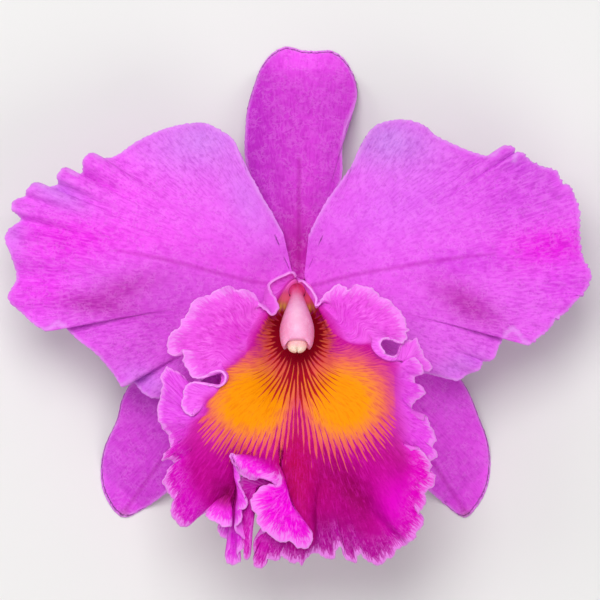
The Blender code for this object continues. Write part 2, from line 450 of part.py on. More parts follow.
def make_petal(name, side, margin, root, material):
    places = ((0.0, 2), (0.08, 2), (0.18, 1), (0.3, 1), (0.42, 1), (0.54, 0), (0.66, 0), (0.77, 0),
              (0.86, 0), (0.93, 0), (1.0, 0))
    rows = blade_rows(root, margin, lambda x, y: petal_height(x, y, side), PETAL_COLUMNS, places, 4.0)
    return add_sheet(name, rows, PETAL_THICK, material)


def make_sepal(name, margin, root, touch, material):
    places = ((0.0, 2), (0.12, 1), (0.25, 1), (0.4, 0), (0.55, 0), (0.7, 0), (0.83, 0), (0.93, 0), (1.0, 0))
    rows = blade_rows(root, margin, lambda x, y: sepal_height(x, y, touch), SEPAL_COLUMNS, places, 3.0)
    return add_sheet(name, rows, SEPAL_THICK, material)


def foot_ring(angle):
    turn = np.radians(angle)
    return np.stack([FOOT_CENTRE[0] + FOOT_RADIUS * np.cos(turn), FOOT_CENTRE[1] + FOOT_RADIUS * np.sin(turn),
                     np.full_like(turn, LIP_ROOT)], axis=1)


def tube_ring(angle):
    turn = np.radians(angle)
    side, above, below = TUBE_RADII
    up = np.sin(turn)
    return np.stack([TUBE_CENTRE[0] + side * np.cos(turn), TUBE_CENTRE[1] + up * np.where(up > 0, above, below),
                     TUBE_HEIGHT + TUBE_BACK_RISE * np.clip(up, 0, 1) - TUBE_FRONT_DROP * np.clip(-up, 0, 1)],
                    axis=1)


def mouth_ring(angle):
    turn = np.radians(angle)
    up = np.clip(np.sin(turn), 0.0, 1.0)
    down = np.clip(-np.sin(turn), 0.0, 1.0)
    return np.stack([MOUTH_CENTRE[0] + MOUTH_RADII[0] * np.cos(turn) * (1 - MOUTH_PINCH * up),
                     MOUTH_CENTRE[1] + MOUTH_TOP * up - MOUTH_RADII[1] * down,
                     MOUTH_HEIGHT - MOUTH_BACK_DROP * up**2 - MOUTH_FRONT_DROP * down**2], axis=1)


def apron_ring(angle, bends):
    """The ring just outside the mouth, where the sheet is still smooth whatever its margin does."""
    turn = np.radians(angle)
    up = np.clip(np.sin(turn), 0.0, 1.0)
    down = np.clip(-np.sin(turn), 0.0, 1.0)
    mouth = mouth_ring(angle)
    wide = np.stack([mouth[:, 0] + APRON_WIDTH * np.cos(turn) * (1 - up), mouth[:, 1] - APRON_LENGTH * down,
                     mouth[:, 2] + APRON_RISE * (1 - down) + APRON_FRONT_RISE * down], axis=1)
    share = ease(up / 0.5)[:, None]
    return wide * (1 - share) + (mouth + 0.4 * (bends - mouth)) * share


def lip_rows(columns, places):
    """Rows of the lip from its foot up the tube, out of the mouth and on to the frilled margin."""
    margin = []
    angles = []
    bends = []
    for _, first, last, path, run in LIP_MARGIN:
        for i, point in enumerate(run):
            share = i / (len(run) - 1)
            margin.append(point[:3])
            angles.append(first + (last - first) * share)
            bend = (np.nan,) * 3
            if path:
                stops = np.linspace(0.0, 1.0, len(path))
                bend = [np.interp(share, stops, side) for side in zip(*path)]
            bends.append(point[3:] or bend)
    margin = np.array(margin)
    bends = np.array(bends)
    knots = knots_of(margin)
    mouth = mouth_ring(angles)
    shape = softened(margin, 7.0)
    plain = mouth + (shape - mouth) * BEND_SHARE
    reach = np.linalg.norm(shape[:, :2] - mouth[:, :2], axis=1)
    plain[:, 2] += 0.09 * reach
    free = np.isnan(bends[:, 0])
    bends[free] = plain[free]
    at = even_places(margin, knots, columns)
    even = np.linspace(angles[0], angles[-1], columns + 1)
    at_angle = 0.9 * np.interp(at, knots, angles) + 0.1 * even
    width = max(3, columns // 60)
    padded = np.concatenate([2 * at_angle[0] - at_angle[width:0:-1], at_angle,
                             2 * at_angle[-1] - at_angle[-2:-width - 2:-1]])
    at_angle = np.convolve(padded, np.ones(2 * width + 1) / (2 * width + 1), "valid")
    bend = spline(bends, knots, at)
    rings = np.stack([foot_ring(at_angle), tube_ring(at_angle), mouth_ring(at_angle),
                      apron_ring(at_angle, bend), bend, spline(margin, knots, at)])
    levels = np.array(RING_PLACES)
    rows = []
    for v, halvings in places:
        row = spline(rings, levels, np.array([v]))[0]
        fold = FOLD_REACH * (1 - ease((v - 0.42) / 0.45))
        if v > 0.3 and fold > 0.05:
            row = softened(row, fold)
        rows.append(row[:: 2**halvings])
    return rows


def make_lip(material):
    places = ((0.0, 2), (0.06, 2), (0.12, 2), (0.2, 2), (0.27, 2), (0.34, 2), (0.42, 1), (0.52, 1), (0.62, 1),
              (0.72, 1), (0.8, 0), (0.87, 0), (0.94, 0), (1.0, 0))
    return add_sheet("lip", lip_rows(LIP_COLUMNS, places), LIP_THICK, material)


def add_tube(name, spine, sides, form, material, middle=0.0, seat=0.0):
    """A closed round body along a spine in the plane of y and z.

    form(turn, place) gives the scale of its width, of its depth and how far it is pushed ahead.
    A seat is the radius of a flat hollow in its far end.
    """
    spine = np.array(spine)
    along = np.gradient(spine[:, :2], axis=0)
    along /= np.linalg.norm(along, axis=1)[:, None]
    points = []
    for (y, z, radius), (dy, dz), place in zip(spine, along, np.linspace(0.0, 1.0, len(spine))):
        for side in range(sides):
            turn = 2 * math.pi * side / sides
            across, out, ahead = form(turn, place)
            rise = radius * out * math.sin(turn)
            points.append((middle + radius * across * math.cos(turn), y - dz * rise + dy * ahead,
                           z + dy * rise + dz * ahead))
    count = len(spine)
    if seat:
        (y, z, _), (dy, dz) = spine[-1], along[-1]
        for side in range(sides):
            turn = 2 * math.pi * side / sides
            rise = 0.78 * seat * math.sin(turn)
            points.append((middle + seat * math.cos(turn), y - dz * rise, z + dy * rise))
        count += 1
    faces = []
    for ring in range(count - 1):
        for side in range(sides):
            a = ring * sides + side
            b = ring * sides + (side + 1) % sides
            faces += [(a, b, b + sides), (a, b + sides, a + sides)]
    first, last = len(points), len(points) + 1
    points += [(middle, spine[0, 0], spine[0, 1]), (middle, spine[-1, 0], spine[-1, 1])]
    for side in range(sides):
        after = (side + 1) % sides
        faces.append((first, after, side))
        faces.append((last, (count - 1) * sides + side, (count - 1) * sides + after))
    return add_object(name, points, outward(np.array(points), faces), material)


def outward(points, faces):
    """The faces turned so that the closed body they bound has a positive volume."""
    corners = points[np.array(faces)]
    volume = np.einsum("ij,ij->i", corners[:, 0], np.cross(corners[:, 1], corners[:, 2])).sum()
    return faces if volume > 0 else [face[::-1] for face in faces]


def refined(spine, count):
    spine = np.array(spine)
    knots = knots_of(spine)
    return spline(spine, knots, np.linspace(knots[0], knots[-1], count))


def make_stalk(material):
    def form(turn, place):
        ribs = 1 + STALK_RIB_DEPTH * math.cos(STALK_RIBS * turn) * ease((place - 0.08) * 6)
        return ribs, ribs, 0.0
    return add_tube("ovary_and_pedicel", refined(STALK_SPINE, 24), 24, form, material)


def make_column(material):
    def form(turn, place):
        depth = 1.0 if math.sin(turn) < 0 else 0.82
        horn = COLUMN_HORN * ease((abs(math.cos(turn)) - 0.55) / 0.4) * ease((place - 0.84) / 0.16)
        return 1.0, depth, horn
    return add_tube("column", refined(COLUMN_SPINE, 22), 20, form, material, COLUMN_MIDDLE, COLUMN_SEAT)


def make_cap(material):
    """The anther cap: a low dome on the blunt end of the column, with a cleft down its middle."""
    sides, rings = 20, 6
    spine = refined(COLUMN_SPINE, 22)
    tip = spine[-1, :2]
    forward = (spine[-1, :2] - spine[-3, :2]) / np.linalg.norm(spine[-1, :2] - spine[-3, :2])
    points = []
    for ring in range(rings):
        polar = math.pi / 2 * ring / rings
        rise = CAP_GAP + CAP_HEIGHT * math.sin(polar)
        for side in range(sides):
            turn = 2 * math.pi * side / sides
            cleft = 1 - 0.3 * math.exp(-(math.cos(turn) / 0.3) ** 2) * ease(ring / 3)
            radius = CAP_RADIUS * math.cos(polar) ** 0.6
            up = 0.78 * radius * math.sin(turn)
            along = CAP_GAP + (rise - CAP_GAP) * cleft
            points.append((COLUMN_MIDDLE + radius * math.cos(turn), tip[0] + forward[0] * along - forward[1] * up,
                           tip[1] + forward[1] * along + forward[0] * up))
    faces = []
    for ring in range(rings - 1):
        for side in range(sides):
            a = ring * sides + side
            b = ring * sides + (side + 1) % sides
            faces += [(a, b, b + sides), (a, b + sides, a + sides)]
    first, last = len(points), len(points) + 1
    low, high = CAP_GAP, CAP_GAP + 0.72 * CAP_HEIGHT
    points += [(COLUMN_MIDDLE, tip[0] + forward[0] * low, tip[1] + forward[1] * low),
               (COLUMN_MIDDLE, tip[0] + forward[0] * high, tip[1] + forward[1] * high)]
    for side in range(sides):
        after = (side + 1) % sides
        faces.append((first, after, side))
        faces.append((last, (rings - 1) * sides + side, (rings - 1) * sides + after))
    return add_object("anther_cap", points, outward(np.array(points), faces), material)


def clear_scene():
    for old in list(bpy.data.objects):
        bpy.data.objects.remove(old, do_unlink=True)


def main():
    clear_scene()
    petal_pink = make_material("petal pink", (0.83, 0.09, 0.77), 0.5)
    sepal_pink = make_material("sepal pink", (0.72, 0.06, 0.66), 0.5)
    lip_magenta = make_material("lip magenta", (0.62, 0.01, 0.38), 0.45)
    column_pink = make_material("column pink", (0.90, 0.46, 0.60), 0.35)
    cap_cream = make_material("cap cream", (0.93, 0.80, 0.62), 0.4)
    stalk_green = make_material("stalk green", (0.32, 0.42, 0.14), 0.5)

    make_stalk(stalk_green)
    make_sepal("dorsal_sepal", DORSAL_SEPAL, ((2.4, 7.2), (-2.4, 7.2)), DORSAL_TOUCH, sepal_pink)
    make_sepal("lateral_sepal_left", LATERAL_SEPAL_LEFT, ((-4.2, 3.4), (-0.4, 0.5)), LEFT_TOUCH, sepal_pink)
    make_sepal("lateral_sepal_right", LATERAL_SEPAL_RIGHT, ((0.4, 0.5), (4.2, 3.4)), RIGHT_TOUCH, sepal_pink)
    make_petal("petal_left", -1, PETAL_LEFT, ((-1.6, 8.6), (-2.7, 1.7)), petal_pink)
    make_petal("petal_right", 1, PETAL_RIGHT, ((2.7, 1.7), (1.6, 8.6)), petal_pink)
    make_lip(lip_magenta)
    make_column(column_pink)
    make_cap(cap_cream)


main()
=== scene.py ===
# %% [markdown]
# # A cattleya orchid bloom
#
# A cattleya bloom has three sepals behind, two broad petals across and one petal turned into a lip,
# which rolls round the column and opens into a frilled apron. Here it was picked and laid on its
# back, so the camera looks straight down into its face. The first cell loads the solids that fix
# where everything sits. All later shapes are drawn in millimetres in that same frame.

# %% Load the solids
import math

import bpy
import numpy as np
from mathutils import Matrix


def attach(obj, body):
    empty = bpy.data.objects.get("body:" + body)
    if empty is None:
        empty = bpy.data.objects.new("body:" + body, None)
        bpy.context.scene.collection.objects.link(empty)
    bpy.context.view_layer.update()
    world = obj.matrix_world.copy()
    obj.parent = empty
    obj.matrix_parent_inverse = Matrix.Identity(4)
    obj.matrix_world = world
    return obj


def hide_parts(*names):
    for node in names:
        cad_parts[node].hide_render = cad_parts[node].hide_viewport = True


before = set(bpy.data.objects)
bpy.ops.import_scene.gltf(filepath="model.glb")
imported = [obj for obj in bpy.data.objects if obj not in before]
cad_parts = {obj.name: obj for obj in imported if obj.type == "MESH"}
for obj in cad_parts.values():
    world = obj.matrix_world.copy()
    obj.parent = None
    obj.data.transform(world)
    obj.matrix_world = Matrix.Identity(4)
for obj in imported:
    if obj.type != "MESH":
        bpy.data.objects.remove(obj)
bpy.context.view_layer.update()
MM = 0.001
HUB = np.array([0.0, 5.0])
print("solids:", ", ".join(sorted(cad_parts)))

# %% [markdown]
# ## Camera
#
# The real picture was taken square on from in front of the bloom. A long lens far away keeps the
# frilled lip, which stands 50 mm above the surface, as large as the petals behind it.

# %% Make the camera
VIEW_WIDTH = 163.54
VIEW_CENTRE = (0.41, 1.64)
PETAL_LEVEL = 34.0
CAMERA_HEIGHT = 3000.0

lens = bpy.data.cameras.new("camera")
lens.sensor_width = 36.0
lens.lens = lens.sensor_width * (CAMERA_HEIGHT - PETAL_LEVEL) / VIEW_WIDTH
lens.clip_end = 20.0
camera = bpy.data.objects.new("camera", lens)
camera.location = (VIEW_CENTRE[0] * MM, VIEW_CENTRE[1] * MM, CAMERA_HEIGHT * MM)
bpy.context.scene.collection.objects.link(camera)
bpy.context.scene.camera = camera
print("lens", round(lens.lens), "mm")

# %% [markdown]
# ## Floor and light
#
# A plain pale surface and big soft lights suit a flower, because hard light burns out its sheen.
# The largest lamp hangs straight above the face. Two weaker ones beside it give the folds of the
# lip a light and a dark side. The plain view transform keeps the magentas from fading.


# %% Make the floor and the lights
def add_lamp(name, place, size, power):
    """A square area lamp that points at the middle of the bloom."""
    lamp = bpy.data.lights.new(name, "AREA")
    lamp.size = size
    lamp.energy = power
    made = bpy.data.objects.new(name, lamp)
    made.location = place
    away = np.array(place) - (0.0, 0.0, 0.03)
    made.rotation_euler = (math.atan2(math.hypot(away[0], away[1]), away[2]), 0.0,
                           math.atan2(away[0], -away[1]))
    bpy.context.scene.collection.objects.link(made)


def add_floor(size, colour):
    mesh = bpy.data.meshes.new("floor")
    half = size / 2
    corners = [(-half, -half, 0.0), (half, -half, 0.0), (half, half, 0.0), (-half, half, 0.0)]
    mesh.from_pydata(corners, [], [(0, 1, 2, 3)])
    material = bpy.data.materials.new("floor paper")
    material.use_nodes = True
    shader = material.node_tree.nodes["Principled BSDF"]
    shader.inputs["Base Color"].default_value = (*colour, 1.0)
    shader.inputs["Roughness"].default_value = 0.9
    mesh.materials.append(material)
    floor = bpy.data.objects.new("floor", mesh)
    bpy.context.scene.collection.objects.link(floor)


add_floor(8.0, (0.80, 0.79, 0.77))
add_lamp("lamp above", (-0.12, 0.45, 1.25), 0.7, 10.5)
add_lamp("lamp left", (-0.9, 0.1, 0.8), 0.6, 2.0)
add_lamp("lamp right", (0.5, -0.8, 0.9), 0.8, 3.4)
world = bpy.data.worlds.new("soft sky")
world.use_nodes = True
world.node_tree.nodes["Background"].inputs["Color"].default_value = (0.95, 0.97, 1.0, 1.0)
world.node_tree.nodes["Background"].inputs["Strength"].default_value = 0.42
bpy.context.scene.world = world
bpy.context.scene.view_settings.view_transform = "Standard"
print("three lamps and a sky")

# %% [markdown]
# ## Curves and sheets
#
# Every petal is a thin sheet, so one set of helpers makes them all. The margin is drawn as a few
# points, a smooth curve runs through them, and rows of points lead from the root out to it. The
# sheet then gets an upper and a lower skin, and its rim is closed and rounded. Here the columns are
# many times closer together than in the solids, so the frills turn softly.


# %% Curves through drawn points
END_SHARE = 0.2


def spline(points, knots, at):
    """Smooth curve through the points, which stand at the knots, read at each value of at."""
    points = np.asarray(points, float)
    slopes = np.gradient(points, knots, axis=0)
    cell = np.clip(np.searchsorted(knots, at, side="right") - 1, 0, len(knots) - 2)
    shape = (-1,) + (1,) * (points.ndim - 1)
    width = (knots[cell + 1] - knots[cell]).reshape(shape)
    t = ((at - knots[cell]) / (knots[cell + 1] - knots[cell])).reshape(shape)
    start = points[cell] * (1 + 2 * t) * (1 - t) ** 2 + slopes[cell] * width * t * (1 - t) ** 2
    end = points[cell + 1] * (3 - 2 * t) * t**2 - slopes[cell + 1] * width * t**2 * (1 - t)
    return start + end


def knots_of(points):
    """Knots for points that stand unevenly: the root of each gap, so that the curve doesn't loop."""
    gaps = np.linalg.norm(np.diff(np.asarray(points, float), axis=0), axis=1)
    return np.concatenate([[0.0], np.cumsum(np.sqrt(gaps))])


def lengths_of(curve):
    steps = np.linalg.norm(np.diff(curve, axis=0), axis=1)
    return np.concatenate([[0.0], np.cumsum(steps)])


def even_places(points, knots, columns):
    """Where to read the curve so that its columns are equally far apart, but for a narrow one at each end."""
    fine = np.linspace(knots[0], knots[-1], 30 * len(knots))
    length = lengths_of(spline(points, knots, fine))
    place = np.linspace(0.0, length[-1], columns + 1)
    place[1] *= END_SHARE
    place[-2] = place[-1] - place[1]
    return np.interp(place, length, fine)


def softened(curve, reach):
    """The curve averaged over a length of about reach on each side, with its ends left in place."""
    length = lengths_of(curve)
    weight = np.exp(-0.5 * ((length[:, None] - length[None, :]) / reach) ** 2)
    average = weight @ curve / weight.sum(axis=1)[:, None]
    held = np.clip(np.minimum(length, length[-1] - length) / (2 * reach), 0.0, 1.0)[:, None]
    return curve + (average - curve) * held


def ease(value):
    value = np.clip(value, 0.0, 1.0)
    return value * value * (3 - 2 * value)


def ripple(length, wave, seed):
    """An uneven wave along a length, about 1 high, whose crests are about one wave apart."""
    chance = np.random.default_rng(seed)
    total = np.zeros_like(length)
    for stretch in (0.62, 0.83, 1.0, 1.27, 1.6):
        total += np.sin(2 * np.pi * length / (wave * stretch) + chance.uniform(0, 2 * np.pi))
    return total / 2.2


# %% Close a sheet
def cells_between(start, count, doubled):
    """Triangles between one row and the next, which has as many steps or twice as many."""
    i = np.arange(count - 1)
    a, b = start + i, start + i + 1
    above = start + count
    if not doubled:
        c, d = above + i + 1, above + i
        odd = (i % 2 == 1)[:, None]
        first = np.where(odd, np.stack([a, b, c], 1), np.stack([a, b, d], 1))
        second = np.where(odd, np.stack([a, c, d], 1), np.stack([b, c, d], 1))
        return np.concatenate([first, second])
    low, middle, high = above + 2 * i, above + 2 * i + 1, above + 2 * i + 2
    return np.concatenate([np.stack([a, middle, low], 1), np.stack([a, b, middle], 1),
                           np.stack([b, high, middle], 1)])


def closed_sheet(name, rows, thickness, places):
    """A mesh object with an upper and a lower skin round the rows, its points and their row places.

    thickness(v) is in millimetres. The object gets a UV map of column share and row place, and an
    attribute that says how much a point belongs to the upper skin.
    """
    counts = [len(row) for row in rows]
    starts = np.concatenate([[0], np.cumsum(counts)])
    faces = np.concatenate([cells_between(starts[k], counts[k], counts[k + 1] != counts[k])
                            for k in range(len(rows) - 1)])
    middle = np.concatenate(rows)
    u = np.concatenate([np.linspace(0.0, 1.0, count) for count in counts])
    v = np.repeat(places, counts)
    across = np.cross(middle[faces[:, 1]] - middle[faces[:, 0]], middle[faces[:, 2]] - middle[faces[:, 0]])
    if across[:, 2].sum() < 0:
        faces, across = faces[:, ::-1], -across
    normals = np.zeros_like(middle)
    for corner in range(3):
        np.add.at(normals, faces[:, corner], across)
    normals /= np.linalg.norm(normals, axis=1)[:, None]
    half = normals * thickness(v)[:, None] / 2
    total = len(middle)
    ways = np.concatenate([faces[:, (0, 1)], faces[:, (1, 2)], faces[:, (2, 0)]])
    keys, back = ways[:, 0] * total + ways[:, 1], ways[:, 1] * total + ways[:, 0]
    a, b = ways[~np.isin(back, keys)].T
    rim = np.concatenate([np.stack([b, a, a + total], 1), np.stack([b, a + total, b + total], 1)])
    triangles = np.concatenate([faces, faces[:, ::-1] + total, rim])
    made = add_mesh(name, np.concatenate([middle + half, middle - half]), triangles)
    paint_uv(made, np.tile(u, 2), np.tile(v, 2))
    add_mask(made, "upper", np.repeat([1.0, 0.0], total))
    return made, np.tile(middle, (2, 1)), np.tile(v, 2)


def spread_of(rows):
    """How many millimetres lie between one end of a row and the other, measured locally."""
    spread = []
    for row in rows:
        step = np.linalg.norm(np.gradient(row, axis=0), axis=1) * (len(row) - 1)
        spread.append(averaged(step, max(2, len(row) // 40)))
    return np.tile(np.concatenate(spread), 2)


def averaged(values, width):
    """Each value averaged with width neighbours on both sides, and carried on beyond the ends."""
    padded = np.concatenate([2 * values[0] - values[width:0:-1], values,
                             2 * values[-1] - values[-2:-width - 2:-1]])
    return np.convolve(padded, np.ones(2 * width + 1) / (2 * width + 1), "valid")


# %% Meshes and what is painted on them
def add_mesh(name, points, triangles):
    mesh = bpy.data.meshes.new(name)
    mesh.from_pydata((points * MM).tolist(), [], triangles.tolist())
    mesh.update()
    mesh.shade_smooth()
    made = bpy.data.objects.new(name, mesh)
    bpy.context.scene.collection.objects.link(made)
    print(name, len(triangles), "triangles")
    return made


def paint_uv(made, u, v):
    layer = made.data.uv_layers.new(name="UVMap")
    corners = np.zeros(len(made.data.loops), int)
    made.data.loops.foreach_get("vertex_index", corners)
    layer.data.foreach_set("uv", np.stack([u, v], 1)[corners].ravel())


def add_mask(made, name, values):
    made.data.attributes.new(name, "FLOAT", "POINT").data.foreach_set("value", np.asarray(values, float))


def add_tint(made, name, colours):
    layer = made.data.attributes.new(name, "FLOAT_COLOR", "POINT")
    layer.data.foreach_set("color", np.column_stack([colours, np.ones(len(colours))]).ravel())


# %% [markdown]
# ## Colour by patches
#
# An orchid isn't one pink. Colour gathers along the midrib and pales to lilac in the thin upper
# lobes. A painter lays such changes down as soft patches over a ground, and so does this helper:
# each patch has a colour, a place, two radii, a turn and a strength. The named colours are the
# paint box for all petals. Some patches are painted light and shade rather than pigment: darker
# bands in the folds and below the midrib, and sides made lighter or darker as they turn towards or
# away from the lamp above.


# %% The paint box
def srgb(red, green, blue):
    """Linear colour from the usual 0 to 255 values."""
    value = np.array([red, green, blue]) / 255.0
    return np.where(value < 0.04045, value / 12.92, ((value + 0.055) / 1.055) ** 2.4)


PINK = srgb(232, 96, 236)
LILAC = srgb(212, 128, 234)
ROSE = srgb(244, 84, 240)
MAGENTA = srgb(240, 52, 236)
HOT_MAGENTA = srgb(236, 14, 226)
# Painted shade for the lower half of a petal, below its midrib
DUSKY_SHADE = srgb(212, 72, 214)
DEEP_SHADE = srgb(178, 38, 164)
RIM_PINK = srgb(245, 146, 244)


def paint(ground, x, y, patches):
    """The ground colour with each patch laid over it in turn: colour, x, y, radii, turn, strength."""
    colours = np.tile(ground, (len(x), 1))
    for colour, px, py, long, short, turn, strength in patches:
        c, s = math.cos(math.radians(turn)), math.sin(math.radians(turn))
        along = ((x - px) * c + (y - py) * s) / long
        aside = ((y - py) * c - (x - px) * s) / short
        cover = (strength * np.exp(-(along**2 + aside**2)))[:, None]
        colours = colours + (colour - colours) * cover
    return colours


# %% [markdown]
# ## Nodes
#
# Materials are graphs of small nodes. These helpers add one node each, so that a material below
# reads as a list of steps. What several materials need, such as the veins that fan out through a
# blade and the crystalline cells of its skin, is built once as a node group.


# %% Trees and sockets
def new_tree(name, sockets_in, sockets_out):
    tree = bpy.data.node_groups.new(name, "ShaderNodeTree")
    for label, kind, value in sockets_in:
        socket = tree.interface.new_socket(label, in_out="INPUT", socket_type=kind)
        if value is not None:
            socket.default_value = value
    for label, kind in sockets_out:
        tree.interface.new_socket(label, in_out="OUTPUT", socket_type=kind)
    return tree, tree.nodes.new("NodeGroupInput"), tree.nodes.new("NodeGroupOutput")


def feed(tree, socket, value):
    """Connects a socket to another one, or sets its number or colour."""
    if isinstance(value, bpy.types.NodeSocket):
        tree.links.new(value, socket)
    else:
        socket.default_value = value


# %% Small nodes
def maths(tree, what, a, b=0.0, c=0.0):
    node = tree.nodes.new("ShaderNodeMath")
    node.operation = what
    for socket, value in zip(node.inputs, (a, b, c)):
        feed(tree, socket, value)
    return node.outputs[0]


def times(tree, a, b):
    return maths(tree, "MULTIPLY", a, b)


def blend(tree, share, a, b):
    """Colour a turned into colour b by a share."""
    node = tree.nodes.new("ShaderNodeMix")
    node.data_type = "RGBA"
    feed(tree, node.inputs["Factor"], share)
    colour_in = [socket for socket in node.inputs if socket.type == "RGBA"]
    for socket, value in zip(colour_in, (a, b)):
        feed(tree, socket, (*value, 1.0) if isinstance(value, np.ndarray) else value)
    return [socket for socket in node.outputs if socket.type == "RGBA"][0]


def deeper(tree, colour, red, green, blue):
    """The colour with more pigment in it, which leaves less of its red, green and blue."""
    node = tree.nodes.new("ShaderNodeVectorMath")
    node.operation = "MULTIPLY"
    feed(tree, node.inputs[0], colour)
    node.inputs[1].default_value = (red, green, blue)
    return node.outputs[0]


def between(tree, value, low, high):
    """0 where the value is at or below low, 1 at or above high, and smooth between."""
    node = tree.nodes.new("ShaderNodeMapRange")
    node.interpolation_type = "SMOOTHSTEP"
    feed(tree, node.inputs["Value"], value)
    feed(tree, node.inputs["From Min"], low)
    feed(tree, node.inputs["From Max"], high)
    return node.outputs["Result"]


def mask(tree, name, output="Fac"):
    node = tree.nodes.new("ShaderNodeAttribute")
    node.attribute_name = name
    return node.outputs[output]


def place_of(tree, x, y, z=0.0):
    node = tree.nodes.new("ShaderNodeCombineXYZ")
    for socket, value in zip(node.inputs, (x, y, z)):
        feed(tree, socket, value)
    return node.outputs[0]


def noise(tree, place, scale, detail=2.0, rough=0.5, twist=0.0):
    node = tree.nodes.new("ShaderNodeTexNoise")
    feed(tree, node.inputs["Vector"], place)
    node.inputs["Scale"].default_value = scale
    node.inputs["Detail"].default_value = detail
    node.inputs["Roughness"].default_value = rough
    node.inputs["Distortion"].default_value = twist
    return node.outputs["Fac"]


# %% [markdown]
# ## Skin and veins
#
# The skin of a petal is built of tiny domed cells over a fan of veins. Up close they read as a pale,
# crumpled net with darker flecks, and as fine hairs that follow the veins. Veins fork on their way
# out, so the hairs keep the same distance everywhere. The second group does that: it takes how wide
# the sheet is at a place, doubles its count each time that this doubles, and fades between counts.
# Both counts use the same noise and the same sway, or a seam would show wherever one takes over.

# %% Group: crystalline skin
def make_skin_group():
    """Size is about the width of a cell in millimetres."""
    tree, inner, outer = new_tree(
        "crystalline skin", (("Size", "NodeSocketFloat", 1.0),),
        (("Net", "NodeSocketFloat"), ("Flecks", "NodeSocketFloat"), ("Clouds", "NodeSocketFloat")))
    spot = tree.nodes.new("ShaderNodeTexCoord").outputs["Object"]
    scaled = tree.nodes.new("ShaderNodeVectorMath")
    scaled.operation = "SCALE"
    feed(tree, scaled.inputs[0], spot)
    feed(tree, scaled.inputs["Scale"], maths(tree, "DIVIDE", 1000.0, inner.outputs["Size"]))
    place = scaled.outputs[0]
    crease = maths(tree, "ABSOLUTE", maths(tree, "SUBTRACT", noise(tree, place, 0.8, 2.0, 0.5, 0.5), 0.5))
    thick = noise(tree, place, 0.35, 1.0)
    net = times(tree, between(tree, crease, 0.12, 0.0), between(tree, thick, 0.35, 0.62))
    feed(tree, outer.inputs["Net"], net)
    feed(tree, outer.inputs["Flecks"], between(tree, noise(tree, place, 0.75, 3.0, 0.65), 0.47, 0.7))
    feed(tree, outer.inputs["Clouds"], between(tree, noise(tree, place, 0.16, 3.0, 0.6), 0.36, 0.64))
    return tree


SKIN = make_skin_group()
print("node group", SKIN.name)


# %% Group: forking veins
FEWEST_VEINS = 4.0
SWAY_CELLS = 90.0


def make_fork_group():
    """Across counts from 0 to 1 over Spread millimetres, and the veins are about Gap millimetres apart."""
    tree, inner, outer = new_tree(
        "forking veins",
        (("Across", "NodeSocketFloat", 0.0), ("Spread", "NodeSocketFloat", 100.0),
         ("Gap", "NodeSocketFloat", 1.0), ("Along", "NodeSocketFloat", 0.0),
         ("Sway", "NodeSocketFloat", 1.0)),
        (("Hairs", "NodeSocketFloat"), ("Stripes", "NodeSocketFloat")))
    count = maths(tree, "DIVIDE", inner.outputs["Spread"], inner.outputs["Gap"])
    level = maths(tree, "LOGARITHM", maths(tree, "MAXIMUM", count, FEWEST_VEINS), 2.0)
    step = maths(tree, "FLOOR", level)
    share = between(tree, maths(tree, "SUBTRACT", level, step), 0.0, 1.0)
    many = maths(tree, "POWER", 2.0, step)
    lane = inner.outputs["Across"]
    along = inner.outputs["Along"]

    def hairs(factor):
        place = place_of(tree, times(tree, times(tree, lane, many), factor), along)
        return noise(tree, place, 1.0, 2.0, 0.6)

    low, high = hairs(1.0), hairs(2.0)
    mixed = maths(tree, "ADD", low, times(tree, maths(tree, "SUBTRACT", high, low), share))
    feed(tree, outer.inputs["Hairs"], between(tree, mixed, 0.3, 0.7))
    wander = noise(tree, place_of(tree, times(tree, lane, SWAY_CELLS), times(tree, along, 0.5)), 1.0, 2.0)
    sway = times(tree, maths(tree, "SUBTRACT", wander, 0.5), inner.outputs["Sway"])

    def stripes(factor):
        turns = maths(tree, "ADD", times(tree, times(tree, lane, many), factor), sway)
        return maths(tree, "SINE", times(tree, turns, 2 * math.pi))

    slow, fast = stripes(1.0), stripes(2.0)
    wave = maths(tree, "ADD", slow, times(tree, maths(tree, "SUBTRACT", fast, slow), share))
    feed(tree, outer.inputs["Stripes"], maths(tree, "MULTIPLY_ADD", wave, 0.5, 0.5))
    return tree


FORKS = make_fork_group()
print("node group", FORKS.name)


# %% Parts of a material
def use_group(tree, group, **values):
    node = tree.nodes.new("ShaderNodeGroup")
    node.node_tree = group
    for label, value in values.items():
        feed(tree, node.inputs[label], value)
    return node


def new_flesh(name, roughness, gloss):
    """A material for living tissue, with the numbers that are the same all over it."""
    material = bpy.data.materials.new(name)
    material.use_nodes = True
    shader = material.node_tree.nodes["Principled BSDF"]
    shader.inputs["Roughness"].default_value = roughness
    shader.inputs["Specular IOR Level"].default_value = gloss
    return material, material.node_tree, shader


def add_bump(tree, shader, height, strength, distance):
    bump = tree.nodes.new("ShaderNodeBump")
    bump.inputs["Strength"].default_value = strength
    bump.inputs["Distance"].default_value = distance * MM
    feed(tree, bump.inputs["Height"], height)
    feed(tree, shader.inputs["Normal"], bump.outputs[0])


